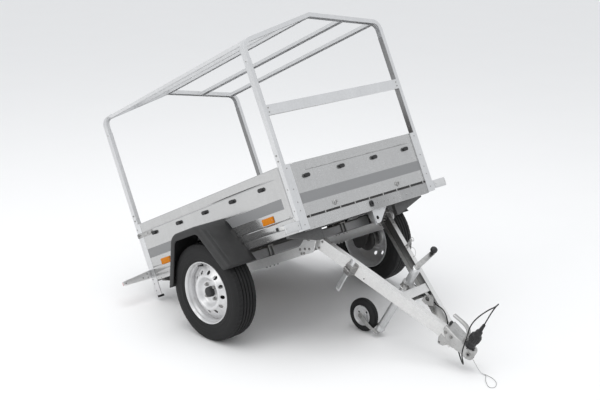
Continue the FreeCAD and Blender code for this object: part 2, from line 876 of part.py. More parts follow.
def arm_strip(inset, width):
    """Plan of a strip that follows an arm's outer face: its outer edge is inset from it."""
    return [
        (-S.arm_back, -(S.arm_spread + S.arm_taper * S.arm_back) + inset),
        (BEND, -S.nose_half + inset),
        (S.arm_end, -S.nose_half + inset),
        (S.arm_end, -S.nose_half + inset + width),
        (BEND, -S.nose_half + inset + width),
        (-S.arm_back, -(S.arm_spread + S.arm_taper * S.arm_back) + inset + width),
    ]


def make_arms():
    arm = new_body("drawbar_arm", DRAWBAR)
    slab(arm, "XY", ARM_LOW, S.arm_top, arm_strip(size(0), S.arm_sheet))
    flange = arm_strip(S.arm_sheet / 2, S.arm_flange - S.arm_sheet / 2)
    slab(arm, "XY", S.arm_top - S.arm_sheet, S.arm_top, flange)
    slab(arm, "XY", ARM_LOW, ARM_LOW + S.arm_sheet, flange)
    bore(arm, "XZ", -S.arm_spread - 20, -S.arm_spread + 20, (0, 0), S.pivot_radius + S.pin_gap)
    twins("drawbar_arm", arm)


def make_pivots():
    """Plates on the ends of the rails, each with a bolt that the drawbar arm turns on."""
    plate = new_body("pivot_plate", BED)
    face = S.rail_outer
    ahead, below = S.hinge_ahead, -S.hinge_drop
    slab(plate, "XZ", -face - S.pivot_plate, -face, [
        (ahead - 115, -S.beam_height - S.rail_height),
        (ahead - 10, -S.beam_height - S.rail_height, 15),
        (ahead + 45, below - 20, 25),
        (ahead + 4, below + 36, 12),
        (ahead - 95, -S.beam_height + 6, 10),
        (ahead - 115, -S.beam_height),
    ])
    disc(plate, "XZ", -face, -S.arm_spread + 20, (ahead, below), S.pivot_radius)
    disc(plate, "XZ", -face - S.pivot_plate - 9, -face - S.pivot_plate, (ahead, below), 13)
    pair("pivot_plates", plate)


def make_channel():
    """The cross channel between the arms, open to the front."""
    body = new_body("drawbar_channel", DRAWBAR)
    back, front = S.channel_back, S.channel_back + S.channel_depth
    sheet = S.arm_sheet

    def reach(ahead):
        return S.arm_spread - S.arm_taper * ahead - sheet * 1.1

    def plan(start, end):
        return [(start, -reach(start)), (end, -reach(end)), (end, reach(end)), (start, reach(start))]

    slab(body, "XY", -S.channel_low, S.channel_high, plan(back, back + sheet))
    slab(body, "XY", S.channel_high - sheet, S.channel_high, plan(back + sheet / 2, front))
    slab(body, "XY", -S.channel_low, sheet - S.channel_low, plan(back + sheet / 2, front))
    node("drawbar_channel", body)


def make_coupling():
    """A pressed coupling head over the ends of the arms, with its ball socket below."""
    body = new_body("coupling_head", DRAWBAR)
    outer = S.ball_radius + S.head_wall
    back = S.arm_end - 85
    side = S.nose_half + S.arm_sheet
    slab(body, "XY", -S.head_low, S.head_top, [
        (back, -side, 8),
        (S.arm_end + 15, -side, 30),
        (S.ball_ahead, -outer),
        (S.ball_ahead + outer, -outer, outer - 1),
        (S.ball_ahead + outer, outer, outer - 1),
        (S.ball_ahead, outer),
        (S.arm_end + 15, side, 30),
        (back, side, 8),
    ])
    cut_slab(body, "XY", -S.head_low, S.arm_top, [
        (back, -S.nose_half),
        (S.arm_end + 2, -S.nose_half),
        (S.arm_end + 2, S.nose_half),
        (back, S.nose_half),
    ])
    bore(body, "XY", -S.head_low, S.head_low / 2, (S.ball_ahead, 0), S.ball_radius)
    cut_slab(body, "XZ", -60, 60, [
        (back, S.arm_top - 14, 1),
        (back + 40, -S.head_low, 1),
        (back, -S.head_low),
    ])
    node("coupling_head", body)

    handle = new_body("coupling_handle", DRAWBAR)
    top = S.head_top
    slab(handle, "XZ", -11, 11, [
        (S.ball_ahead - 52, top),
        (S.ball_ahead - 52, top + 34, 14),
        (S.ball_ahead - 78, top + 70, 30),
        (S.ball_ahead - 200, top + 74, 9),
        (S.ball_ahead - 200, top + 52, 9),
        (S.ball_ahead - 96, top + 50, 20),
        (S.ball_ahead - 78, top + 14, 10),
        (S.ball_ahead - 78, top),
    ])
    node("coupling_handle", handle)


def make_jockey():
    """The jockey wheel: clamp and tube square to the drawbar, a swivelling fork, and its wheel."""
    ahead = S.leg_ahead
    clamp = new_body("jockey_clamp", DRAWBAR)
    collar = S.leg_radius + 9
    disc(clamp, "XY", -S.channel_low, S.channel_high, (ahead, 0), collar)
    slab(clamp, "XY", -S.channel_low, S.channel_high, [
        (ahead, -20), (S.channel_back, -20), (S.channel_back, 20), (ahead, 20)])
    slab(clamp, "XY", -S.channel_low + 8, S.channel_high - 8, [
        (ahead - 8, 0), (ahead + 8, 0), (ahead + 8, 58), (ahead - 8, 58)])
    bore(clamp, "XY", -S.channel_low, S.channel_high, (ahead, 0), S.leg_radius + S.pin_gap)
    node("jockey_clamp", clamp)

    tube = new_body("jockey_tube", DRAWBAR)
    disc(tube, "XY", -S.leg_foot, S.leg_top, (ahead, 0), S.leg_radius)
    bore(tube, "XY", -S.leg_foot, -S.leg_foot + 120, (ahead, 0), S.leg_bore)
    node("jockey_tube", tube)

    crank = new_body("jockey_crank", DRAWBAR)
    disc(crank, "XY", S.leg_top, S.leg_top + 14, (ahead, 0), 15)
    slab(crank, "XY", S.leg_top + 8, S.leg_top + 16, [
        (ahead - 14, -6, 5),
        (ahead + 12, -10, 5),
        (ahead - 40, 196, 9),
        (ahead - 64, 190, 9),
    ])
    disc(crank, "XY", S.leg_top + 16, S.leg_top + 46, (ahead - 52, 182), 16)
    node("jockey_crank", crank)

    wheel_ahead = ahead - S.jockey_trail
    wheel_drop = ((S.jockey_radius - HINGE_HEIGHT + wheel_ahead * sine(S.drawbar_drop))
                  / cosine(S.drawbar_drop))
    fork = new_body("jockey_fork", DRAWBAR)
    inner = S.jockey_half + S.running_gap + 1
    outer = inner + S.fork_plate
    foot = -S.leg_foot
    disc(fork, "XY", foot - 1, foot + 90, (ahead, 0), S.leg_bore - S.pin_gap)
    slab(fork, "XY", foot - 12, foot - 1, [
        (ahead - 22, -outer), (ahead + 15, -outer), (ahead + 15, outer), (ahead - 22, outer)])
    for low in (-outer, inner):
        slab(fork, "XZ", low, low + S.fork_plate, [
            (wheel_ahead - 18, wheel_drop + 18, 14),
            (wheel_ahead + 16, wheel_drop + 18, 14),
            (wheel_ahead + 62, foot - 2, 30),
            (ahead + 15, foot - 1, 4),
            (ahead + 15, foot - 14, 6),
            (wheel_ahead + 60, foot - 30, 30),
            (wheel_ahead - 18, wheel_drop - 16, 14),
        ])
    disc(fork, "XZ", -outer - 5, outer + 5, (wheel_ahead, wheel_drop), S.jockey_pin)
    node("jockey_fork", fork)

    frame = DRAWBAR.multiply(Placement(Vector(wheel_ahead.value, 0, wheel_drop.value), Rotation()))
    tyre = new_body("jockey_tyre", frame)
    half = S.jockey_half
    turned(tyre, [
        (-half + 4, S.jockey_rim),
        (-half, S.jockey_rim + 6, 4),
        (-half, S.jockey_radius, 16),
        (half, S.jockey_radius, 16),
        (half, S.jockey_rim + 6, 4),
        (half - 4, S.jockey_rim),
    ])
    node("jockey_tyre", tyre)
    rim = new_body("jockey_rim", frame)
    hub = S.jockey_pin + S.pin_gap
    turned(rim, [
        (-half, hub),
        (-half, 18),
        (-6, 22),
        (-6, 48),
        (-half + 2, 56),
        (-half + 2, S.jockey_rim - 0.2),
        (half - 2, S.jockey_rim - 0.2),
        (half - 2, 56),
        (6, 48),
        (6, 22),
        (half, 18),
        (half, hub),
    ])
    node("jockey_rim", rim)


def make_support_leg():
    """A short flat prop in its clamp on the right-hand arm."""
    ahead = 270
    face = -(S.arm_spread - S.arm_taper * ahead)
    skew = S.arm_taper * 30
    clamp = new_body("prop_clamp", DRAWBAR)
    slab(clamp, "XY", ARM_LOW - 4, S.arm_top - 8, [
        (ahead - 30, face - 45),
        (ahead + 30, face - 45),
        (ahead + 30, face + skew),
        (ahead - 30, face - skew),
    ])
    cut_slab(clamp, "XY", ARM_LOW - 4, S.arm_top - 8, [
        (ahead - 15, face - 33), (ahead + 15, face - 33), (ahead + 15, face - 25), (ahead - 15, face - 25)])
    node("prop_clamp", clamp)
    leg = box("prop_leg", DRAWBAR, (ahead - 15, face - 33, -182), (ahead + 15, face - 25, 60))
    node("prop_leg", leg)


def make_lamps():
    """Slim rear lamps on tapered brackets that stick out behind the mudguards."""
    bracket = new_body("lamp_bracket", BED)
    outer = S.guard_outer
    slab(bracket, "YZ", REAR, REAR + 22, [
        (-HALF, 24),
        (-HALF, 76),
        (-outer, 56, 8),
        (-outer, 27, 8),
    ])
    pair("rear_lamp_brackets", bracket)
    lamp = new_body("rear_lamp", BED)
    slab(lamp, "YZ", REAR - 20, REAR, [
        (5 - outer, 28, 6),
        (5 - outer, 54, 6),
        (-HALF - 40, 66, 6),
        (-HALF - 40, 28, 6),
    ])
    pair("rear_lamps", lamp)


def make_markers():
    """White front reflectors on plates beside the front posts, amber ones on the sides."""
    plate = new_body("marker_plate", BED)
    slab(plate, "YZ", FRONT - 2 * S.sheet, FRONT - S.sheet, [
        (-HALF - 116, 12, 4), (-HALF - 116, 58, 4), (-HALF, 58), (-HALF, 12)])
    pair("marker_plates", plate)
    marker = new_body("front_marker", BED)
    slab(marker, "YZ", FRONT - S.sheet, FRONT + 3, [
        (-HALF - 114, 14, 4), (-HALF - 114, 56, 4), (-HALF - 14, 56, 4), (-HALF - 14, 14, 4)])
    pair("front_markers", marker)
    reflectors = []
    for name, start, low in (("front_reflector", 454, 93), ("rear_reflector", -582, 82)):
        body = new_body(name, BED)
        slab(body, "XZ", -HALF - 8, -HALF, [
            (start, low, 3), (start + 98, low, 3), (start + 98, low + 38, 3), (start, low + 38, 3)])
        reflectors += [body, mirrored(name + "_left", body)]
    node("side_reflectors", group("side_reflectors", reflectors))


def make_hooks():
    """Tarpaulin hooks: five along each side, four across the front."""
    hooks = []
    middle = S.side_height - S.hook_drop
    half, high, corner = S.hook_width / 2, S.hook_height / 2, 10

    def outline(at):
        return [(at - half, middle - high, corner), (at + half, middle - high, corner),
                (at + half, middle + high, corner), (at - half, middle + high, corner)]

    for step in range(-2, 3):
        body = new_body("side_hook", BED)
        slab(body, "XZ", -HALF - S.hook_depth, -HALF, outline(step * S.side_hook_step - S.side_hook_shift))
        hooks += [body, mirrored("side_hook_left", body)]
    for step in (-1.5, -0.5, 0.5, 1.5):
        body = new_body("front_hook", BED)
        slab(body, "YZ", FRONT, FRONT + S.hook_depth, outline(step * S.front_hook_step))
        hooks.append(body)
    node("tarp_hooks", group("tarp_hooks", hooks))


def make_latches():
    """Over-centre latches of the tailgate, on the sides at its top corners."""
    body = new_body("latch", BED)
    low = S.side_height - 88
    slab(body, "XZ", -HALF - 6, -HALF, [
        (REAR + 2, low, 3), (REAR + 165, low, 3), (REAR + 165, low + 30, 3), (REAR + 2, low + 30, 3)])
    slab(body, "XZ", -HALF - 18, -HALF - 6, [
        (REAR + 60, low + 6, 3),
        (REAR + 160, low + 6, 3),
        (REAR + 160, low + 24, 3),
        (REAR + 60, low + 24, 3),
    ])
    pair("gate_latches", body)


def make_lock_pin():
    """The pull pin that locks the drawbar in its driving position."""
    ahead, across = 286, 204
    pin = new_body("lock_pin", DRAWBAR)
    disc(pin, "XY", S.arm_top, S.arm_top + 14, (ahead, across), 10)
    disc(pin, "XY", S.arm_top + 14, S.arm_top + 52, (ahead, across), 4)
    disc(pin, "XY", S.arm_top + 52, S.arm_top + 60, (ahead, across), 9)
    node("lock_pin", pin)


def make_cable_plate():
    """A lug ahead of the cross channel, with the hole that the plug's cable is tied up in."""
    front = S.channel_back + S.channel_depth
    body = new_body("cable_plate", DRAWBAR)
    slab(body, "XZ", 56, 60, [
        (front, -44), (front + 34, -44, 6), (front + 84, -12, 8), (front + 60, 24, 8), (front, 24)])
    bore(body, "XZ", 50, 66, (front + 26, -6), 14)
    node("cable_plate", body)


def make_plug():
    """The plug parked in its holder on the coupling."""
    ahead, across = S.ball_ahead - 17, -14
    high = S.head_top
    frame = DRAWBAR.multiply(Placement(Vector(ahead.value, across, high.value), Rotation()))
    holder = new_body("plug_holder", frame)
    spun(holder, [(0, 0), (27, 0, 4), (27, 32, 3), (0, 32)])
    node("plug_holder", holder)
    plug = new_body("plug", frame)
    spun(plug, [
        (0, 32),
        (25, 32),
        (25, 48, 3),
        (28, 52, 3),
        (28, 84, 4),
        (20, 92, 3),
        (20, 124, 4),
        (11, 134, 2),
        (8, 176, 2),
        (0, 176),
    ])
    node("plug", plug)


# ---- Cords --------------------------------------------------------------------------------

CABLE_RADIUS = 3.5
ROPE_RADIUS = 1.5


def tube_path(points):
    """Straight runs joined by tangent arcs, each as large as its two runs allow."""
    edges, radii = [], []
    start = points[0]
    for before, corner, after in zip(points, points[1:], points[2:]):
        back, ahead = before - corner, after - corner
        half_turn = (math.pi - back.getAngle(ahead)) / 2
        reach = 0.45 * min(back.Length, ahead.Length)
        radii.append(reach / math.tan(half_turn))
        enter = corner + back.normalize() * reach
        leave = corner + ahead.normalize() * reach
        centre = corner + (back + ahead).normalize() * (radii[-1] / math.cos(half_turn))
        middle = centre + (corner - centre).normalize() * radii[-1]
        edges.append(Part.LineSegment(start, enter).toShape())
        edges.append(Part.Arc(enter, middle, leave).toShape())
        start = leave
    edges.append(Part.LineSegment(start, points[-1]).toShape())
    return Part.Wire(edges), radii


def make_cord(label, radius, points):
    """A tube along a cord's route."""
    path, radii = tube_path(points)
    section = Part.Wire(Part.makeCircle(radius, points[0], points[1] - points[0]))
    solid = path.makePipeShell([section], True, False)
    expected = math.pi * radius ** 2 * path.Length
    print(f"{label}: {path.Length:.0f} long, radii {[round(r) for r in radii]}, "
          f"volume {solid.Volume / expected:.4f} of section times length")
    if abs(solid.Volume / expected - 1) > 0.01:
        raise RuntimeError(f"{label}: its tube is folded")
    feature = doc.addObject("Part::Feature", label)
    feature.Shape = solid
    PLACED.append(feature)
    node(label, feature)


def make_plug_cable():
    """From the cross channel inside the left arm, down between the arms, under the coupling
    head behind its socket, up beside the plug and over into its top.
    """
    start = S.channel_back + S.arm_sheet + S.pin_gap
    near_channel = [(0, 86, 0), (46.7, 86, 0), (94.7, 80, 0), (130.7, 60, 8), (154.7, 42, 24)]
    near_ball = [
        (-298, 28, 46), (-265, 16, 56), (-229, 7, 50), (-201, 1, 27), (-175, 0, -4),
        (-143, 0, -26), (-110, -1, -37), (-80, -4, -40), (-56, -12, -42), (-30, -25, -46),
        (-1, -35, -55), (20, -46, -53), (28, -61, -39), (21, -70, -20), (0, -70, -3),
        (-17, -66, 22), (-28, -61, 53), (-38, -58, 86), (-48, -58, 124), (-58, -60, 166),
        (-60, -62, 209), (-50, -66, 267), (-32, -71, 325), (-16, -79, 368), (-2, -70, 397),
        (-9, -32, 400), (-20, -15, 368), (-22, -15, 320), (-20, -15, 264), (-17, -14, 216.3),
    ]
    route = [(start.value + along, across, up) for along, across, up in near_channel]
    route += [(S.ball_ahead.value + along, across, up) for along, across, up in near_ball]
    make_cord("plug_cable", CABLE_RADIUS, [DRAWBAR.multVec(Vector(*point)) for point in route])


def make_breakaway_cable():
    """A thin steel rope from the coupling's nose down to the floor, ending in a laid-out loop."""
    reach = (S.ball_ahead + S.ball_radius + S.head_wall + S.pin_gap).value
    nose = DRAWBAR.multVec(Vector(reach, 0, -16))
    along_floor = [
        (17, 1.5, 48), (31, 3.5, 29), (45, 5.2, 12.5), (58, 5.8, 3), (90, 5.8, 3), (107, 5, 1.8),
        (133, 0, 1.8), (161, -13, 1.8), (186, -33, 1.8), (204, -59, 1.8), (212, -88, 1.8),
        (197, -106, 1.8), (174, -96, 1.8), (150, -74, 1.8), (125, -49, 1.8), (106, -22, 1.8),
        (98, -6, 2.4), (89, 0.8, 3), (71, 0.8, 3),
    ]
    route = [nose] + [Vector(nose.x + ahead, across, up) for ahead, across, up in along_floor]
    make_cord("breakaway_cable", ROPE_RADIUS, route)

    ferrule = new_body("cable_ferrule", Placement(Vector(nose.x + 66, 0, 0), Rotation()))
    slab(ferrule, "YZ", 0, 16, [(-2, 0.4, 2), (8.6, 0.4, 2), (8.6, 5.6, 2), (-2, 5.6, 2)])
    for across in (0.8, 5.8):
        bore(ferrule, "YZ", 0, 16, (across, 3), ROPE_RADIUS + 0.2)
    node("cable_ferrule", ferrule)


# ---- Checks and files ---------------------------------------------------------------------

CORD_NODES = ("plug", "plug_cable", "breakaway_cable", "cable_ferrule")


def stand_on_origin():
    """Move everything so that the origin is under the middle of the trailer's length."""
    doc.recompute()
    boxes = [feature.Shape.optimalBoundingBox(False, False)
             for label, feature in NODES.items() if label not in CORD_NODES]
    middle = (min(b.XMin for b in boxes) + max(b.XMax for b in boxes)) / 2
    for feature in PLACED:
        feature.Placement.Base = feature.Placement.Base - Vector(middle, 0, 0)
    doc.recompute()
    print(f"the origin is {middle:.3f} ahead of the wheel axis")


def check_and_write():
    for feature in doc.Objects:
        if {"Invalid", "Error"} & set(feature.State):
            raise RuntimeError(f"{feature.Label} failed: {feature.State}")
    os.makedirs("parts", exist_ok=True)
    for label, feature in NODES.items():
        shape = feature.Shape
        if shape.isNull() or not shape.isValid() or not shape.Solids:
            raise RuntimeError(f"{label} has no valid solid")
        shape.exportStep(f"parts/{label}.step")
        low = shape.optimalBoundingBox(False, False).ZMin
        print(f"{label}: {len(shape.Solids)} solid(s), {shape.Volume / 1000:.1f} cm3, lowest {low:.2f}")


make_floor()
make_walls()
make_sills()
make_posts()
make_hoops()
make_roof_bars()
make_gate()
make_rails()
make_cross_beams()
make_axle()
make_wheel()
make_mudguard()
make_arms()
make_pivots()
make_channel()
make_coupling()
make_jockey()
make_support_leg()
make_lamps()
make_markers()
make_hooks()
make_latches()
make_lock_pin()
make_cable_plate()
make_plug()
make_plug_cable()
make_breakaway_cable()
stand_on_origin()
check_and_write()
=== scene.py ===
import json
import math

import bmesh
import bpy
import numpy as np
from mathutils import Matrix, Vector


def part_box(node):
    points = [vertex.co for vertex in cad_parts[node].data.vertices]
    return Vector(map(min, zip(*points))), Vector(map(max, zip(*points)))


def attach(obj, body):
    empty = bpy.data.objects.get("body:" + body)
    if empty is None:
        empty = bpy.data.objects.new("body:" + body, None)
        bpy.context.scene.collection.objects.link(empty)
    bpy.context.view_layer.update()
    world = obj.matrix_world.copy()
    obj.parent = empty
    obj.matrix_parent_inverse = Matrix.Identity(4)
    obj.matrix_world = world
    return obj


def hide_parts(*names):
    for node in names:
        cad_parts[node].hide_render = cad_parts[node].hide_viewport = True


bl_info = {
    "name": "Utility Trailer",
    "version": (1, 0, 0),
    "blender": (4, 5, 0),
    "location": "3D View > Sidebar > Trailer",
    "description": "Finishes a tipped utility trailer around its CAD frame",
    "category": "Object",
}

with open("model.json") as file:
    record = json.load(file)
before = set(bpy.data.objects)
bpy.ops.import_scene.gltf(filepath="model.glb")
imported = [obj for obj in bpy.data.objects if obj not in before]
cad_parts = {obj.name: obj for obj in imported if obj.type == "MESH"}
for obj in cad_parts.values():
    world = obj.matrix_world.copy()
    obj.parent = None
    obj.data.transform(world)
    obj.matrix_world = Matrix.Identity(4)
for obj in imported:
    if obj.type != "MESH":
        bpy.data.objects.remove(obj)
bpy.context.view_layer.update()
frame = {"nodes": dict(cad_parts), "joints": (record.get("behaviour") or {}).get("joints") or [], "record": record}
JOINTS = {joint["name"]: joint for joint in frame["joints"]}
SLOT_OF = {part["node"]: part["material_slot"] for part in frame["record"]["subparts"]}

# ---- Frames of the trailer: millimetres along their own axes, metres once placed -------------

MM = 0.001
ORIGIN, AHEAD, BACK = (0, 0, 0), (1, 0, 0), (-1, 0, 0)
LEFT, RIGHT, UP, DOWN = (0, 1, 0), (0, -1, 0), (0, 0, 1), (0, 0, -1)
TILT = math.radians(25.8)
SLOPE = math.radians(-30.5)


class Place:
    """A frame: its origin, and axes turned nose up by an angle about the cross axis."""

    def __init__(self, origin, turn):
        self.origin = np.array(origin, float)
        self.axes = np.array([
            [math.cos(turn), 0, math.sin(turn)],
            [0, 1, 0],
            [-math.sin(turn), 0, math.cos(turn)],
        ])

    def __call__(self, points):
        """Metres in the row's frame = origin + millimetres along the three axes."""
        return self.origin + np.asarray(points, float) * MM @ self.axes

    def moved(self, x, y, z):
        """The same axes from another origin."""
        other = Place(self([x, y, z]), 0)
        other.axes = self.axes
        return other


TYRE_LOW, TYRE_HIGH = (np.array(corner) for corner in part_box("tyre_right"))
AXLE = ((TYRE_LOW + TYRE_HIGH) / 2) * (1, 0, 1)
WHEEL_ACROSS = (TYRE_LOW[1] + TYRE_HIGH[1]) / 2 / MM
# The bed's zero height lies this far above the axle, along the bed's own upright.
BED_RISE = 161.7
BED = Place(AXLE, TILT).moved(0, 0, BED_RISE)
DRAWBAR = Place(JOINTS["drawbar_tilt"]["pos_m"], SLOPE)
AXLE_PLACE = Place(AXLE, 0)
JOCKEY = Place(JOINTS["jockey_wheel_spin"]["pos_m"], SLOPE)

FRONT, REAR, HALF = 747, -745, 566
WALL_TOP, FLOOR_TOP, SILL_TOP = 372, 73, 62
FRONT_INNER = HALF - 60
SHEET_WALL, TOP_CREASE = 1.8, 318

# ---- Shapes: surfaces worked out as whole arrays ---------------------------------------------


def rounded(corners, steps=5):
    """An outline from corners (a, b) or (a, b, radius): each rounded corner is an arc whose
    points are centre + radius * (cos, sin), swept between the tangent points of its two runs."""
    ring = []
    count = len(corners)
    for i, corner in enumerate(corners):
        point = np.array(corner[:2], float)
        if len(corner) < 3:
            ring.append(point[None])
            continue
        back = np.array(corners[i - 1][:2], float) - point
        ahead = np.array(corners[(i + 1) % count][:2], float) - point
        back /= np.linalg.norm(back)
        ahead /= np.linalg.norm(ahead)
        half = math.acos(np.clip(back @ ahead, -1, 1)) / 2
        bisector = (back + ahead) / np.linalg.norm(back + ahead)
        centre = point + bisector * corner[2] / math.sin(half)
        side = back - bisector * (back @ bisector)
        side /= np.linalg.norm(side)
        sweep = np.linspace(1, -1, steps + 1)[:, None] * (math.pi / 2 - half)
        ring.append(centre + corner[2] * (side * np.sin(sweep) - bisector * np.cos(sweep)))
    return np.concatenate(ring)


def full_turn(count):
    """Even steps of an angle once round."""
    return np.linspace(0, 2 * math.pi, count, endpoint=False)


def points_of(x, y, z):
    """Points from their coordinates, each stretched to the others' shape."""
    return np.stack(np.broadcast_arrays(x, y, z), -1)


def heading(turn):
    """(cos t, sin t) of each angle."""
    return np.stack([np.cos(turn), np.sin(turn)], 1)


def circle(radius, count):
    """radius * (cos t, sin t) for t once round."""
    return radius * heading(full_turn(count))


def flat_ring(outline, height, axis):
    """An outline's points (a, b), set square to an axis at a height along it."""
    order = {"x": (2, 0, 1), "y": (0, 2, 1), "z": (0, 1, 2)}[axis]
    return np.column_stack([outline, np.full(len(outline), height)])[:, order]


def inset(outline, distance):
    """Each point moved inwards along the mitre of its two edges' normals by a distance."""
    ahead = np.roll(outline, -1, 0) - outline
    ahead /= np.maximum(np.linalg.norm(ahead, axis=1, keepdims=True), 1e-9)
    area = np.sum(outline[:, 0] * np.roll(outline[:, 1], -1) - np.roll(outline[:, 0], -1) * outline[:, 1])
    normal = np.stack([-ahead[:, 1], ahead[:, 0]], 1) * math.copysign(1, area)
    before = np.roll(normal, 1, 0)
    mitre = (normal + before) / np.maximum(1 + np.sum(normal * before, 1, keepdims=True), 0.3)
    return outline + mitre * distance


def smooth_line(points, count):
    """A line through points: each coordinate a cubic of the distance run, by Catmull-Rom's rule."""
    points = np.asarray(points, float)
    padded = np.concatenate([2 * points[:1] - points[1:2], points, 2 * points[-1:] - points[-2:-1]])
    along = np.linspace(0, len(points) - 1, count)
    start = np.minimum(along.astype(int), len(points) - 2)
    t = (along - start)[:, None]
    a, b, c, d = (padded[start + step] for step in range(4))
    return 0.5 * (2 * b + (c - a) * t + (2 * a - 5 * b + 4 * c - d) * t ** 2
                  + (3 * b - a - 3 * c + d) * t ** 3)


def across_to(axis):
    """An axis at unit length, and two directions square to it and to each other."""
    axis = np.array(axis, float) / np.linalg.norm(axis)
    helper = np.array([0.0, 0, 1]) if abs(axis[2]) < 0.9 else np.array([1.0, 0, 0])
    side = np.cross(helper, axis)
    side /= np.linalg.norm(side)
    return axis, side, np.cross(axis, side)


class Shape:
    """The surfaces of one piece, gathered in millimetres of its frame."""

    def __init__(self):
        self.points = []
        self.faces = []
        self.count = 0

    def grid(self, points, around=False, along=False, ends=False):
        """Quads over points[i, j]: around joins each row's ends, along joins the first row to
        the last, and ends closes the first and the last row with a face each."""
        rows, columns = points.shape[:2]
        index = np.arange(rows * columns).reshape(rows, columns) + self.count
        wide = np.hstack([index, index[:, :1]]) if around else index
        wide = np.vstack([wide, wide[:1]]) if along else wide
        quads = np.stack([wide[:-1, :-1], wide[1:, :-1], wide[1:, 1:], wide[:-1, 1:]], -1)
        self.faces += quads.reshape(-1, 4).tolist()
        if ends:
            self.faces += [index[0, ::-1].tolist(), index[-1].tolist()]
        self.points.append(points.reshape(-1, 3))
        self.count += rows * columns
        return self

    def turned(self, at, axis, profile, count, closed=False, phase=0.0):
        """Surface of revolution: at + axis * s + r * (cos t, sin t) for each (s, r) of a profile."""
        axis, side, up = across_to(axis)
        profile = np.asarray(profile, float)
        turn = full_turn(count) + phase
        ring = side * np.cos(turn)[:, None] + up * np.sin(turn)[:, None]
        points = np.array(at, float) + profile[:, :1, None] * axis + profile[:, 1:, None] * ring
        return self.grid(points, around=True, along=closed, ends=not closed)

    def lathe(self, at, axis, profile, count, phase=0.0):
        """A turned solid: its flat ends run in from the profile's two ends to a core of radius 0.1."""
        profile = [(profile[0][0], 0.1), *profile, (profile[-1][0], 0.1)]
        return self.turned(at, axis, profile, count, phase=phase)

    def prism(self, outline, low, high, axis="y", edge=0.0):
        """An outline carried along an axis from low to high; edge rounds both rims with two
        rings drawn in by edge * (1 - sin t) where they lie edge * (1 - cos t) from the face."""
        turn = np.radians([0, 45, 90]) if edge else np.array([math.pi / 2])
        depths = edge * (1 - np.cos(turn))
        insets = edge * (1 - np.sin(turn))
        rings = [(low + depth, draw) for depth, draw in zip(depths, insets)]
        rings += [(high - depth, draw) for depth, draw in zip(depths[::-1], insets[::-1])]
        points = np.stack([flat_ring(inset(outline, draw) if draw else outline, place, axis)
                           for place, draw in rings])
        return self.grid(points, around=True, ends=True)

    def slab(self, corner, opposite, radius, low, high, axis="y", edge=0.0, steps=5):
        """A prism of the rectangle between two corners, with all four rounded."""
        (a, b), (c, d) = corner, opposite
        outline = rounded([(a, b, radius), (c, b, radius), (c, d, radius), (a, d, radius)], steps)
        return self.prism(outline, low, high, axis, edge)

    def swept(self, path, outline, up=UP, closed=False):
        """An outline (a, b) carried along a path: path + a * side + b * rise, where side and rise
        are square to the path's direction and rise lies nearest to up."""
        path = np.asarray(path, float)
        if closed:
            ahead = np.roll(path, -1, 0) - np.roll(path, 1, 0)
        else:
            ahead = np.gradient(path, axis=0)
        ahead /= np.linalg.norm(ahead, axis=1, keepdims=True)
        side = np.cross(ahead, np.broadcast_to(np.array(up, float), ahead.shape))
        side /= np.linalg.norm(side, axis=1, keepdims=True)
        rise = np.cross(side, ahead)
        outline = np.broadcast_to(np.asarray(outline, float), (len(path),) + np.shape(outline)[-2:])
        points = path[:, None] + outline[..., :1] * side[:, None] + outline[..., 1:] * rise[:, None]
        return self.grid(points, around=True, along=closed, ends=not closed)

    def bolt(self, at, axis, size, kind="hex"):
        """A washer with a head on it: hex is a chamfered six-sided prism with its shank's end,
        dome is a low cap r = 0.92 * size * cos t, height = 0.5 * size * sin t."""
        self.turned(at, axis, [(0, size * 1.15), (0.14 * size, size * 1.15), (0.2 * size, size * 1.05),
                               (0.2 * size, 0.1)], 20)
        base = 0.2 * size
        if kind == "dome":
            turn = np.linspace(0, math.pi / 2, 6)
            cap = np.column_stack([base + 0.5 * size * np.sin(turn), 0.92 * size * np.cos(turn) + 0.01])
            return self.turned(at, axis, np.vstack([[(base, 0.1)], cap]), 20)
        self.turned(at, axis, [(base, 0.1), (base, 0.92 * size), (base + 0.55 * size, 0.92 * size),
                               (base + 0.68 * size, 0.74 * size), (base + 0.68 * size, 0.42 * size)], 6)
        return self.turned(at, axis, [(base, 0.1), (base, 0.46 * size), (base + 0.9 * size, 0.46 * size),
                                      (base + 1.0 * size, 0.36 * size), (base + 1.0 * size, 0.02)], 14)

    def mirrored(self):
        """The same surfaces on the other side of the middle plane."""
        twin = Shape()
        twin.points = [points * (1, -1, 1) for points in self.points]
        twin.faces = [face[::-1] for face in self.faces]
        twin.count = self.count
        return twin

    def joined(self, other):
        """This piece's surfaces with another's."""
        both = Shape()
        both.points = self.points + other.points
        both.faces = self.faces + [[corner + self.count for corner in face] for face in other.faces]
        both.count = self.count + other.count
        return both

    def doubled(self):
        """This piece's surfaces with their mirror image."""
        return self.joined(self.mirrored())


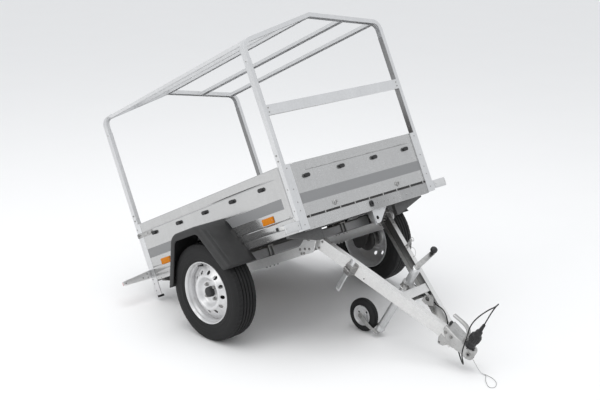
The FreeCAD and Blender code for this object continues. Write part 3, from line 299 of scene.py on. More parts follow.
def build(name, shape, place, finish, body, replaces=None, facing=None, smooth=32, solid=0.0, bevel=0.0):
    """Make a piece: its surfaces placed in the row's frame, on its body, in the finish of that name.

    A closed piece gets its normals from its own shells. facing is given for an open sheet, as the
    way that most of it looks; solid then thickens it to its back."""
    mesh = bpy.data.meshes.new(name)
    mesh.from_pydata(place(np.concatenate(shape.points)), [], shape.faces)
    work = bmesh.new()
    work.from_mesh(mesh)
    bmesh.ops.remove_doubles(work, verts=work.verts, dist=0.02 * MM)
    bmesh.ops.recalc_face_normals(work, faces=work.faces)
    if facing is not None:
        want = place.axes.T @ np.array(facing, float)
        mean = sum(np.array(face.normal) * face.calc_area() for face in work.faces)
        if mean @ want < 0:
            bmesh.ops.reverse_faces(work, faces=work.faces)
    work.to_mesh(mesh)
    work.free()
    mesh.shade_smooth()
    mesh.set_sharp_from_angle(angle=math.radians(smooth))
    piece = bpy.data.objects.new(name, mesh)
    bpy.context.scene.collection.objects.link(piece)
    if solid:
        wall = piece.modifiers.new("wall", "SOLIDIFY")
        wall.thickness = solid * MM
        wall.offset = -1
        wall.use_even_offset = True
    if bevel:
        edge = piece.modifiers.new("edge", "BEVEL")
        edge.width = bevel * MM
        edge.segments = 2
        edge.limit_method = "ANGLE"
        edge.angle_limit = math.radians(38)
        edge.harden_normals = True
    slot, made = look(finish)
    mesh.materials.append(made.material)
    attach(piece, body)
    if replaces:
        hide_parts(replaces)
    return piece


def build_sides(name, shape, finish, node, facing, **more):
    """Build a sheet on the bed's right side and its mirror image on the left."""
    for side, twin, across in (("_right", shape, 1), ("_left", shape.mirrored(), -1)):
        build(name + side, twin, BED, finish, "bed", node + side,
              facing=(facing[0], facing[1] * across, facing[2]), **more)


# ---- Finishes: shader maths written as expressions -------------------------------------------


class Wire:
    """A value that varies over a surface. Its operators add Math nodes."""

    def __init__(self, finish, socket):
        self.finish = finish
        self.socket = socket

    def math(self, operation, first, second):
        return self.finish.add("ShaderNodeMath", {"operation": operation}, {0: first, 1: second})

    def __add__(self, other):
        return self.math("ADD", self, other)

    def __sub__(self, other):
        return self.math("SUBTRACT", self, other)

    def __mul__(self, other):
        return self.math("MULTIPLY", self, other)

    def __rsub__(self, other):
        return self.math("SUBTRACT", other, self)

    __radd__ = __add__
    __rmul__ = __mul__


class Finish:
    """A material. add() makes any node; constants go on the shader's own sockets."""

    def __init__(self, name, **constants):
        self.material = bpy.data.materials.new(name)
        self.material.use_nodes = True
        self.tree = self.material.node_tree
        self.shader = self.tree.nodes["Principled BSDF"]
        self.set(**constants)

    def feed(self, socket, value):
        if isinstance(value, Wire):
            self.tree.links.new(value.socket, socket)
        else:
            socket.default_value = value

    def add(self, kind, settings=None, inputs=None, out=0):
        node = self.tree.nodes.new(kind)
        for key, value in (settings or {}).items():
            setattr(node, key, value)
        for key, value in (inputs or {}).items():
            self.feed(node.inputs[key], value)
        return Wire(self, node.outputs[out])

    def set(self, **values):
        """Shader sockets by name, with _ for a space: Base_Color, Coat_Weight."""
        for key, value in values.items():
            self.feed(self.shader.inputs[key.replace("_", " ")], value)

    def where(self, place=None, stretch=(1, 1, 1)):
        """Object coordinates, in metres along a frame's own axes, stretched."""
        spot = self.add("ShaderNodeTexCoord", out="Object")
        if place is not None:
            turn = Matrix(place.axes.tolist()).to_euler()
            spot = self.add("ShaderNodeMapping", {"vector_type": "POINT"}, {
                "Vector": spot, "Location": tuple(-place.axes @ place.origin), "Rotation": turn})
        if stretch != (1, 1, 1):
            spot = self.add("ShaderNodeVectorMath", {"operation": "MULTIPLY"}, {0: spot, 1: stretch})
        return spot

    def along(self, spot, axis):
        return self.add("ShaderNodeSeparateXYZ", None, {0: spot}, out="XYZ".index(axis))

    def noise(self, spot, scale, detail):
        return self.add("ShaderNodeTexNoise", None, {"Vector": spot, "Scale": scale, "Detail": detail})

    def cells(self, spot, scale, uneven):
        """The distance from the edges of a pattern of cells."""
        return self.add("ShaderNodeTexVoronoi", {"feature": "DISTANCE_TO_EDGE"}, {
            "Vector": spot, "Scale": scale, "Randomness": uneven})

    def grains(self, spot, scale):
        """A random tone for each crystal of a broken-up surface."""
        colour = self.add("ShaderNodeTexVoronoi", None, {"Vector": spot, "Scale": scale}, out="Color")
        return self.add("ShaderNodeSeparateColor", None, {0: colour})

    def step(self, value, low, high):
        """0 below low, 1 above high, smooth between."""
        return self.add("ShaderNodeMapRange", {"interpolation_type": "SMOOTHSTEP"}, {
            "Value": value, "From Min": low, "From Max": high})

    def band(self, value, low, high):
        """1 between low and high, with soft edges."""
        soft = 0.0004
        return self.step(value, low - soft, low + soft) * (1 - self.step(value, high - soft, high + soft))

    def mix(self, mask, first, second):
        """Colours: first where the mask is 0, second where it is 1."""
        first, second = ((*colour, 1) if isinstance(colour, tuple) and len(colour) == 3 else colour
                         for colour in (first, second))
        return self.add("ShaderNodeMix", {"data_type": "RGBA"}, {0: mask, 6: first, 7: second}, out=2)

    def bump(self, height, distance, strength, under=None):
        inputs = {"Height": height, "Distance": distance, "Strength": strength}
        if under is not None:
            inputs["Normal"] = under
        return self.add("ShaderNodeBump", None, inputs)

    def worn_edges(self, radius):
        """The normal with a small radius along sharp edges, which catches the light."""
        return self.add("ShaderNodeBevel", {"samples": 4}, {"Radius": radius})


def tone(colour, factor):
    return tuple(min(1.0, part * factor) for part in colour)


# Radii in metres that worn edges catch the light with.
WORN_METAL, WORN_PLASTIC, WORN_THIN = 0.0008, 0.0006, 0.0003


def zinc(name, colour, rough, crystal=0.5, metal=0.80, place=BED, stripe=None, spread=0.08, dull=None):
    """Galvanised steel: crystals, soft clouds, rain streaks and fine scratches; where a mask is given, painted
    shade darkens the base towards 0.22 of its colour.
    """
    finish = Finish(name)
    spot = finish.where(place)
    clouds = finish.noise(spot, 5.0, 4)
    crystals = finish.grains(spot, 150.0)
    streaks = finish.noise(finish.where(place, (26, 26, 2.2)), 1.6, 3)
    scratches = finish.step(finish.noise(finish.where(place, (3, 3, 90)), 9.0, 2), 0.66, 0.74)
    shade = clouds * 0.42 + crystals * crystal * 0.5 + streaks * 0.30 - scratches * 0.10
    base = finish.mix(finish.step(shade, 0.22, 0.86), tone(colour, 1 - spread), tone(colour, 1 + spread))
    roughness = rough + (clouds - 0.5) * spread + (crystals - 0.5) * 0.08 * crystal + scratches * 0.05
    metallic = metal
    # Painted shade: the mask darkens the base where these parts looked shaded.
    if dull:
        base = finish.mix(dull(finish, spot) * (0.9 + clouds * 0.1), base, tone(colour, 0.22))
    if stripe:
        mask = stripe(finish, spot)
        print_grain = finish.noise(spot, 700.0, 2)
        base = finish.mix(mask, base, finish.mix(print_grain, (0.215, 0.217, 0.221), (0.255, 0.257, 0.262)))
        roughness = roughness + mask * (0.42 - rough)
        metallic = metal * (1 - mask)
    height = crystals * 0.35 + finish.noise(spot, 60.0, 3) * 0.65
    normal = finish.bump(height, 0.00012, 0.5, finish.worn_edges(WORN_METAL))
    finish.set(Base_Color=base, Roughness=roughness, Metallic=metallic, Normal=normal)
    return finish


def rubber(name, colour, rough, dust=0.35):
    """Vulcanised rubber: fine grain under a patchy bloom of dust."""
    finish = Finish(name, Specular_IOR_Level=0.35)
    spot = finish.where()
    grain = finish.noise(spot, 900.0, 2)
    bloom = finish.step(finish.noise(spot, 14.0, 5), 0.42, 0.72)
    base = finish.mix(bloom * dust, tone(colour, 0.85), tone(colour, 2.3))
    finish.set(Base_Color=finish.mix(grain * 0.35, base, tone(colour, 0.6)),
               Roughness=rough + bloom * 0.10 + (grain - 0.5) * 0.12,
               Normal=finish.bump(grain * 0.6 + bloom * 0.4, 0.00015, 0.6))
    return finish


def moulded(name, colour, rough, grain_scale=1400.0):
    """Moulded plastic: a leathery grain and faint handling marks."""
    finish = Finish(name, Specular_IOR_Level=0.45)
    spot = finish.where()
    grain = finish.noise(spot, grain_scale, 2)
    marks = finish.noise(spot, 18.0, 4)
    finish.set(Base_Color=finish.mix(finish.step(marks, 0.35, 0.75), tone(colour, 0.86), tone(colour, 1.3)),
               Roughness=rough + (marks - 0.5) * 0.22 + (grain - 0.5) * 0.10,
               Normal=finish.bump(grain, 0.0001, 0.5, finish.worn_edges(WORN_PLASTIC)))
    return finish


def plated(name, colour, rough, metal=0.95, edge=WORN_METAL):
    """Plated or cast metal: a faint mottle with dull patches."""
    finish = Finish(name)
    spot = finish.where()
    mottle = finish.noise(spot, 55.0, 4)
    dull = finish.step(finish.noise(spot, 16.0, 3), 0.48, 0.70)
    base = finish.mix(mottle, tone(colour, 0.80), tone(colour, 1.14))
    finish.set(Base_Color=finish.mix(dull * 0.5, base, tone(colour, 0.72)),
               Roughness=rough + (mottle - 0.5) * 0.18 + dull * 0.10, Metallic=metal,
               Normal=finish.bump(mottle, 0.00015, 0.4, finish.worn_edges(edge)))
    return finish


def lacquered(name, colour, rough):
    """Silver wheel lacquer: metal flakes under a thin coat, with brake dust in the dish."""
    finish = Finish(name, Coat_Roughness=0.12)
    spot = finish.where()
    flakes = finish.grains(spot, 2600.0)
    dust = finish.step(finish.noise(spot, 22.0, 5), 0.50, 0.78)
    base = finish.mix(flakes, tone(colour, 0.96), tone(colour, 1.03))
    finish.set(Base_Color=finish.mix(dust * 0.25, base, (0.30, 0.28, 0.26)),
               Roughness=rough + (flakes - 0.5) * 0.04 + dust * 0.14, Metallic=0.55,
               Coat_Weight=0.35 - dust * 0.2, Normal=finish.bump(flakes, 0.00003, 0.12))
    return finish


def lens(name, colour, pitch=0.0042):
    """A moulded reflector: rows of small prisms under a glossy face."""
    finish = Finish(name, Coat_Weight=0.06, Coat_Roughness=0.08, Specular_IOR_Level=0.18)
    spot = finish.where(BED)
    depth = finish.step(finish.cells(spot, 1 / pitch, 0.15), 0.0, 0.35)
    milky = finish.noise(spot, 40.0, 2)
    base = finish.mix(depth, tone(colour, 0.62), tone(colour, 1.08))
    finish.set(Base_Color=finish.mix(milky * 0.15, base, tone(colour, 1.2)),
               Roughness=0.22 + (1 - depth) * 0.12 + (milky - 0.5) * 0.08,
               Normal=finish.bump(depth, 0.0006, 0.6))
    return finish


def plywood(name):
    """Film-faced plywood: long grain under a brown film with a fine mesh pressed into it."""
    finish = Finish(name, Coat_Roughness=0.3)
    spot = finish.where(BED)
    grain = finish.noise(finish.where(BED, (3, 60, 60)), 2.0, 5)
    mesh = finish.cells(spot, 210.0, 0.0)
    scuffs = finish.step(finish.noise(finish.where(BED, (2, 9, 9)), 3.0, 4), 0.56, 0.72)
    film = finish.mix(grain, (0.045, 0.027, 0.017), (0.095, 0.058, 0.036))
    finish.set(Base_Color=finish.mix(scuffs * 0.45, film, (0.20, 0.15, 0.11)),
               Roughness=0.42 + scuffs * 0.2 + (grain - 0.5) * 0.1, Coat_Weight=0.25 - scuffs * 0.2,
               Normal=finish.bump(finish.step(mesh, 0.0, 0.10), 0.0004, 0.5))
    return finish


def side_stripe(finish, spot):
    """The grey band printed along the sides, on their outer faces."""
    across = finish.along(spot, "Y")
    return (finish.band(finish.along(spot, "Z"), 0.145, 0.204)
            * finish.band(finish.along(spot, "X"), -0.69, 0.660)
            * finish.step(across * across, 0.5647 ** 2, 0.5653 ** 2))


def front_stripe(finish, spot):
    """The grey band printed across the front, on its outer face."""
    return (finish.band(finish.along(spot, "Z"), 0.141, 0.200)
            * finish.band(finish.along(spot, "Y"), -0.505, 0.510)
            * finish.step(finish.along(spot, "X"), 0.7457, 0.7463))


def painted_shade_eave_bars(finish, spot):
    """Painted shade on the upward faces of the two outer roof bars, at three quarters strength."""
    across = finish.along(spot, "Y")
    facing = finish.add("ShaderNodeTexCoord", out="Normal")
    up = finish.add("ShaderNodeVectorMath", {"operation": "DOT_PRODUCT"},
                    {0: facing, 1: tuple(BED.axes[2])}, out=1)
    return finish.step(across * across, 0.49 ** 2, 0.495 ** 2) * finish.step(up, 0.6, 0.8) * 0.75


def sill_shade(finish, spot):
    """Painted shade on the front sill: none on its near half, strongest just past the middle, and about half as
    strong at the joint.
    """
    across = finish.along(spot, "Y")
    return finish.step(across, -0.05, 0.03) * (0.42 - finish.step(across, 0.03, 0.26) * 0.22)


def painted_shade_inner_faces(finish, spot):
    """Painted shade on the faces that look towards the drawbar's middle, strong as far as the cross channel and
    faint past it.
    """
    facing = finish.along(finish.add("ShaderNodeTexCoord", out="Normal"), "Y")
    side = finish.step(finish.along(spot, "Y"), -0.002, 0.002)
    ahead = finish.step(finish.along(spot, "X"), 0.565, 0.63)
    return finish.step(facing * (1 - 2 * side), 0.55, 0.80) * (1 - ahead * 0.85)


def floor_paper(name, colour):
    """Studio floor: a pale matt surface with the faintest mottle."""
    finish = Finish(name)
    mottle = finish.noise(finish.where(), 1.5, 3)
    finish.set(Base_Color=finish.mix(mottle, tone(colour, 0.985), tone(colour, 1.0)),
               Roughness=0.9 + (mottle - 0.5) * 0.05)
    return finish


SHEET = (0.545, 0.545, 0.543)
FRAME = (0.70, 0.705, 0.712)


def made_of(slot, make, *values, **more):
    """A row of the table: the record's slot, the function that makes the finish, its values."""
    return slot, make, values, more


def sheet(rough, **more):
    """A row for the bed's galvanised walls."""
    return made_of("galvanised_sheet", zinc, SHEET, rough, **more)


def steel(colour, rough, **more):
    """A row for galvanised tubes, rails and arms."""
    return made_of("galvanised_frame", zinc, colour, rough, **more)


def fitting(colour, rough):
    """A row for zinc-plated fittings."""
    return made_of("zinc_fittings", plated, colour, rough)


FINISHES = {
    "side_sheet": sheet(0.17, crystal=0.4, metal=0.88, stripe=side_stripe),
    "front_sheet": sheet(0.24, crystal=0.4, metal=0.85, stripe=front_stripe),
    "sheet": sheet(0.26, metal=0.85),
    # The front sill's main part carries painted shade.
    "sill_sheet": sheet(0.26, metal=0.85, dull=sill_shade),
    "blank_label": made_of("galvanised_sheet", moulded, (0.62, 0.62, 0.61), 0.40),
    "frame": steel(FRAME, 0.34, crystal=0.35),
    # The outer roof bars carry painted shade on their upward faces.
    "roof_bars": steel(FRAME, 0.34, crystal=0.35, dull=painted_shade_eave_bars),
    # The drawbar arms' inner faces carry painted shade.
    "bar": steel((0.745, 0.742, 0.735), 0.34, crystal=0.45, place=DRAWBAR, dull=painted_shade_inner_faces),
    "dull_frame": steel((0.42, 0.42, 0.42), 0.36, crystal=0.6, metal=0.82, spread=0.12),
    # A dark copy of the frame's galvanised steel: painted shade for the posts' inner sleeves and the axle tube.
    "painted_shade_steel": steel((0.27, 0.27, 0.272), 0.38),
    # A near-black copy of the frame's galvanised steel: painted shade for the cross beams under the bed.
    "painted_shade_under_frame": steel((0.13, 0.13, 0.13), 0.42, crystal=0.6, metal=0.70, spread=0.15),
    # A lighter, less metallic copy of the frame's steel: its brighter base is painted light for the chassis rails,
    # pivot plates and lamp carriers, which lie in shade.
    "rail": steel((0.84, 0.84, 0.84), 0.50, crystal=0.4, metal=0.40),
    "dark_iron": made_of("galvanised_frame", plated, (0.050, 0.049, 0.048), 0.48, metal=0.35),
    "zinc_fittings": fitting((0.49, 0.488, 0.482), 0.30),
    "dark_zinc": fitting((0.36, 0.355, 0.345), 0.36),
    "cast_zinc": fitting((0.34, 0.335, 0.33), 0.42),
    "silver_paint": made_of("silver_paint", lacquered, (0.70, 0.70, 0.705), 0.33),
    "floor_board": made_of("floor_board", plywood),
    "road_tyre": made_of("road_tyre", rubber, (0.0105, 0.0105, 0.011), 0.66),
    "small_tyre": made_of("small_tyre", rubber, (0.012, 0.012, 0.0125), 0.62, dust=0.2),
    "rubber_foot": made_of("rubber_foot", rubber, (0.020, 0.020, 0.020), 0.66),
    "cable_sheath": made_of("cable_sheath", rubber, (0.014, 0.014, 0.014), 0.46, dust=0.12),
    "black_plastic": made_of("black_plastic", moulded, (0.016, 0.016, 0.017), 0.42),
    "guard_plastic": made_of("guard_plastic", moulded, (0.023, 0.023, 0.0235), 0.55, grain_scale=900.0),
    "red_lens": made_of("red_lens", lens, (0.50, 0.012, 0.010)),
    "white_lens": made_of("white_lens", lens, (0.86, 0.865, 0.87)),
    "amber_lens": made_of("amber_lens", lens, (0.74, 0.235, 0.001)),
    "lamp_amber": made_of("amber_lens", lens, (0.70, 0.16, 0.010), pitch=0.006),
    "steel_rope": made_of("steel_rope", plated, (0.50, 0.50, 0.49), 0.34, edge=WORN_THIN),
    "ferrule_alloy": made_of("ferrule_alloy", plated, (0.70, 0.70, 0.71), 0.30, edge=WORN_THIN),
}
SLOT_FINISHES = {"galvanised_sheet": "sheet", "galvanised_frame": "frame"}
NODE_FINISHES = {
    "drawbar_arm_right": "bar", "drawbar_arm_left": "bar", "drawbar_channel": "bar",
    "swing_arm_right": "dark_iron", "swing_arm_left": "dark_iron",
    "cross_beams": "painted_shade_under_frame", "roof_bars": "roof_bars", "axle_tube": "painted_shade_steel",
    "chassis_rail_right": "rail", "chassis_rail_left": "rail", "pivot_plates": "rail",
}
LOOKS = {}


def look(name):
    """A finish's slot in the record, with its material, which is made the first time."""
    if name not in LOOKS:
        slot, make, values, more = FINISHES[name]
        LOOKS[name] = (slot, make(name, *values, **more))
    return LOOKS[name]


# ---- Sizes and colours a user may change -----------------------------------------------------


def length(name, description, default):
    return bpy.props.FloatProperty(name=name, description=description, default=default, min=0.0,
                                   subtype="DISTANCE", unit="LENGTH", precision=4)


class TrailerStageSettings(bpy.types.PropertyGroup):
    key_power: bpy.props.FloatProperty(
        name="Key light", description="Power of the large soft light on the left", default=90.0, min=0.0)
    top_power: bpy.props.FloatProperty(
        name="Top light", description="Power of the overhead light", default=150.0, min=0.0)
    sky: bpy.props.FloatProperty(
        name="Surroundings", description="Brightness of the studio around", default=0.84, min=0.0)
    floor_colour: bpy.props.FloatVectorProperty(
        name="Floor", description="Colour of the floor", default=(0.93, 0.93, 0.93), subtype="COLOR",
        min=0.0, max=1.0)


class TrailerCordSettings(bpy.types.PropertyGroup):
    cable_diameter: length("Cable", "Diameter of the plug's cable", 0.007)
    rope_diameter: length("Rope", "Diameter of the breakaway rope", 0.003)
    rope_lay: length("Lay", "Length of one turn of the rope's strands", 0.012)


class TrailerWheelSettings(bpy.types.PropertyGroup):
    groove_depth: length("Groove depth", "Depth of the tread's grooves", 0.0065)
    pitches: bpy.props.IntProperty(
        name="Pitches", description="Tread blocks round each shoulder", default=62, min=20, max=90)
    hole_radius: length("Vent hole", "Radius of one vent hole in the disc", 0.0112)


class TrailerBedSettings(bpy.types.PropertyGroup):
    crease_depth: length("Crease depth", "Depth of the creases pressed into the walls", 0.0032)
    guard_wall: length("Mudguard wall", "Thickness of the mudguards", 0.0034)


# ---- Stage and frame -------------------------------------------------------------------------


LENS, SENSOR = 68.35, 36.0
CAMERA = (4.6543, -4.6804, 2.6678)
CAMERA_DOWN, CAMERA_ROUND = 16.6, 45.1
FLOOR_REACH = 40.0


class TRAILER_OT_stage(bpy.types.Operator):
    """Add the floor, the surroundings, the lights and the camera"""
    bl_idname = "trailer.stage"
    bl_label = "Stage"

    def execute(self, context):
        settings = context.scene.trailer_stage
        scene = context.scene
        scene.view_settings.view_transform = "Standard"
        camera = bpy.data.cameras.new("camera")
        camera.lens, camera.sensor_width = LENS, SENSOR
        camera.clip_end = 200.0
        eye = bpy.data.objects.new("camera", camera)
        eye.location = CAMERA
        eye.rotation_euler = (math.radians(90 - CAMERA_DOWN), 0, math.radians(CAMERA_ROUND))
        scene.collection.objects.link(eye)
        scene.camera = eye

        mesh = bpy.data.meshes.new("floor")
        corners = [(-1, -1, 0), (1, -1, 0), (1, 1, 0), (-1, 1, 0)]
        mesh.from_pydata((np.array(corners) * FLOOR_REACH).tolist(), [], [(0, 1, 2, 3)])
        floor = bpy.data.objects.new("floor", mesh)
        mesh.materials.append(floor_paper("floor_paper", tuple(settings.floor_colour)).material)
        scene.collection.objects.link(floor)

        world = bpy.data.worlds.new("studio")
        world.use_nodes = True
        back = world.node_tree.nodes["Background"]
        back.inputs["Color"].default_value = (0.965, 0.98, 1.0, 1)
        back.inputs["Strength"].default_value = settings.sky
        scene.world = world

        lamps = [
            ("key", (-1.5, -6.5, 4.2), (0.0, 0.0, 0.7), 5.0, settings.key_power, (1.0, 0.985, 0.96)),
            ("top", (0.6, -0.6, 6.5), (0.2, 0.0, 0.0), 6.0, settings.top_power, (1.0, 1.0, 1.0)),
        ]
        for name, spot, target, width, power, colour in lamps:
            light = bpy.data.lights.new(name, "AREA")
            light.shape, light.size, light.energy, light.color = "DISK", width, power, colour
            lamp = bpy.data.objects.new(name, light)
            ahead = np.array(target) - np.array(spot)
            flat = math.hypot(ahead[0], ahead[1])
            lamp.location = spot
            lamp.rotation_euler = (math.atan2(flat, -ahead[2]), 0, math.atan2(-ahead[0], ahead[1]))
            scene.collection.objects.link(lamp)
        return {"FINISHED"}


class TRAILER_OT_finishes(bpy.types.Operator):
    """Give every CAD node its finish"""
    bl_idname = "trailer.finishes"
    bl_label = "Finishes"

    def execute(self, context):
        for name, piece in frame["nodes"].items():
            slot_finish = SLOT_FINISHES.get(SLOT_OF[name], SLOT_OF[name])
            material = look(NODE_FINISHES.get(name, slot_finish))[1].material
            for slot in piece.material_slots:
                slot.material = material
            if not piece.material_slots:
                piece.data.materials.append(material)
        return {"FINISHED"}


# ---- Cords -----------------------------------------------------------------------------------

# The plug cable along the drawbar: from the cross channel, then measured from the ball.
CABLE_NEAR_CHANNEL = [(0, 86, 0), (46.7, 86, 0), (94.7, 80, 0), (130.7, 60, 8), (154.7, 42, 24)]
CABLE_NEAR_BALL = [
    (-298, 28, 46), (-265, 16, 56), (-229, 7, 50), (-201, 1, 27), (-175, 0, -4),
    (-143, 0, -26), (-110, -1, -37), (-80, -4, -40), (-56, -12, -42), (-30, -25, -46),
    (-1, -35, -55), (20, -46, -53), (28, -61, -39), (21, -70, -20), (0, -70, -3),
    (-17, -66, 22), (-28, -61, 53), (-38, -58, 86), (-48, -58, 124), (-58, -60, 166),
    (-60, -62, 209), (-50, -66, 267), (-32, -71, 325), (-16, -79, 368), (-2, -70, 397),
    (-9, -32, 400), (-20, -15, 368), (-22, -15, 320), (-20, -15, 264), (-17, -14, 216.3),
]
CHANNEL_EXIT, BALL = 555.3, 1035.0
# The breakaway rope: from the coupling's nose, then over the floor, measured from the nose.
ROPE_NOSE = (BALL + 32.35, 0, -16)
ROPE_FLOOR = [
    (17, 1.5, 48), (31, 3.5, 29), (45, 5.2, 12.5), (58, 5.8, 3), (90, 5.8, 3), (107, 5, 1.8),
    (133, 0, 1.8), (161, -13, 1.8), (186, -33, 1.8), (204, -59, 1.8), (212, -88, 1.8),
    (197, -106, 1.8), (174, -96, 1.8), (150, -74, 1.8), (125, -49, 1.8), (106, -22, 1.8),
    (98, -6, 2.4), (89, 0.8, 3), (71, 0.8, 3),
]


def smooth_curve(name, points, radius):
    """A NURBS curve with the route's points as its control points."""
    curve = bpy.data.curves.new(name, "CURVE")
    curve.dimensions = "3D"
    spline = curve.splines.new("NURBS")
    spline.points.add(len(points) - 1)
    spline.points.foreach_set("co", np.column_stack([points, np.ones(len(points))]).ravel())
    spline.order_u = 3
    spline.use_endpoint_u = True
    curve.resolution_u = 14
    curve.bevel_depth = radius
    curve.bevel_resolution = 5
    curve.use_fill_caps = radius > 0
    piece = bpy.data.objects.new(name, curve)
    bpy.context.scene.collection.objects.link(piece)
    return piece


def curve_line(points, count):
    """Evenly spaced points of the same curve with no thickness, and its length, in metres."""
    guide = smooth_curve("guide", points, 0.0)
    bpy.context.view_layer.update()
    mesh = bpy.data.meshes.new_from_object(guide)
    line = np.empty(len(mesh.vertices) * 3)
    mesh.vertices.foreach_get("co", line)
    line = line.reshape(-1, 3)
    bpy.data.objects.remove(guide)
    bpy.data.meshes.remove(mesh)
    run = np.concatenate([[0], np.cumsum(np.linalg.norm(np.diff(line, axis=0), axis=1))])
    even = np.linspace(0, run[-1], count)
    return np.column_stack([np.interp(even, run, line[:, k]) for k in range(3)]), run[-1]


ROW = Place(ORIGIN, 0)
PLUG = DRAWBAR.moved(BALL - 17, -14, 40)


def plug_shapes():
    """The holder, the plug with its finger ribs r + depth * cos(n t), and its stepped boot."""
    holder = Shape().lathe(ORIGIN, UP, [
        (0.3, 26), (2, 27.5), (8, 27.5), (9, 25), (27, 25), (28, 27.5), (32, 27.5), (33, 26)], 40)
    for turn in np.radians([40, 160, 280]):
        holder.bolt((31 * math.cos(turn), 31 * math.sin(turn), 1.0), UP, 3.4)
    holder.slab((-36, -9), (36, 9), 6, 0.2, 3.2, "z", 0.6)
    plug = Shape()
    turn = full_turn(96)
    profile = np.array([
        (33.2, 0.1, 0), (33.2, 26, 0), (35, 27.5, 0), (44, 27.5, 0), (46, 29.0, 0.3), (50, 30.4, 1.6),
        (56, 31, 2.2), (82, 31, 2.2), (88, 29.6, 1.4), (92, 26.5, 0), (95, 22, 0), (97, 19.8, 0),
        (99, 19.8, 0.5), (120, 18.8, 0.5), (123, 17.5, 0), (125, 13, 0), (127, 12, 0)])
    radius = profile[:, 1:2] + profile[:, 2:3] * np.cos(16 * turn)
    ribbed = points_of(radius * np.cos(turn), radius * np.sin(turn), profile[:, :1])
    plug.grid(ribbed, around=True, ends=True)
    along = np.linspace(0, 1, 57)
    boot = 11.4 - 3.6 * along + 0.8 * np.sin(along * 7 * 2 * math.pi)
    plug.turned(ORIGIN, UP, np.column_stack([126 + 50 * along, boot]), 32)
    return holder, plug


class TRAILER_OT_cords(bpy.types.Operator):
    """Lay the plug's cable and the breakaway rope, with the plug and the ferrule on them"""
    bl_idname = "trailer.cords"
    bl_label = "Cords"

    def execute(self, context):
        settings = context.scene.trailer_cords
        route = [(CHANNEL_EXIT + along, across, up) for along, across, up in CABLE_NEAR_CHANNEL]
        route += [(BALL + along, across, up) for along, across, up in CABLE_NEAR_BALL]
        route = DRAWBAR(route)
        cable = smooth_curve("plug_lead", route, settings.cable_diameter / 2)
        cable.data.materials.append(look("cable_sheath")[1].material)
        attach(cable, "drawbar")
        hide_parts("plug_cable")
        holder, plug = plug_shapes()
        build("plug_socket", holder, PLUG, "black_plastic", "drawbar", "plug_holder", bevel=0.5)
        plug_piece = build("parked_plug", plug, PLUG, "black_plastic", "drawbar", "plug", smooth=40)
        relief = Shape()
        along = np.linspace(0, 1, 33)
        relief.turned((CHANNEL_EXIT, 86, 0), AHEAD, np.vstack([
            [(0, 3.6), (0, 10.5), (2.2, 10.8), (3.4, 9.6), (4, 7.6)],
            np.column_stack([4 + 24 * along, 7.4 - 3.0 * along + 0.45 * np.cos(along * 5 * 2 * math.pi)]),
            [(28.2, 3.6)]]), 28, closed=True)
        boot = build("lead_boot", relief, DRAWBAR, "cable_sheath", "drawbar", smooth=40)
        _, cable_length = curve_line(route, 400)

        nose = DRAWBAR(ROPE_NOSE)
        route = np.vstack([nose, np.array(ROPE_FLOOR) * MM + (nose[0], 0, 0)])
        line, rope_length = curve_line(route, 620)
        radius = settings.rope_diameter / MM / 2
        phase = np.linspace(0, rope_length / settings.rope_lay * 2 * math.pi, len(line))
        strand = circle(radius * 0.34, 7)
        rope = Shape().swept(line / MM, strand)
        for start in np.arange(6) * math.pi / 3:
            centre = heading(phase + start)[:, None] * radius * 0.66
            rope.swept(line / MM, centre + strand)
        rope_piece = build("breakaway_rope", rope, ROW, "steel_rope", "drawbar", "breakaway_cable",
                           smooth=60)
        sleeve = Shape()
        low = np.array([nose[0] / MM + 66, 3.3, 3.0])
        steps = np.linspace(0, 16, 33)
        pinch = 1 - 0.13 * (np.abs((steps - 8) / 8) < 0.8) * (0.5 + 0.5 * np.cos(steps / 16 * 6 * math.pi))
        turn = full_turn(28)
        oval = np.stack([np.sign(np.cos(turn)) * np.abs(np.cos(turn)) ** 0.75 * 5.1,
                         np.sign(np.sin(turn)) * np.abs(np.sin(turn)) ** 0.9 * 2.55], 1)
        ring = pinch[:, None, None] * oval
        sleeve.grid(low + points_of(steps[:, None], ring[..., 0], ring[..., 1]), around=True, ends=True)
        ferrule = build("rope_ferrule", sleeve, ROW, "ferrule_alloy", "drawbar", "cable_ferrule", bevel=0.3)
        return {"FINISHED"}


# ---- Road wheels -----------------------------------------------------------------------------

TYRE_RADIUS = 289.0
GROOVES = (-34.0, -11.5, 11.5, 34.0)
HOLES, HOLE_RING = 12, 118.0
BOLT_RING = 49.0


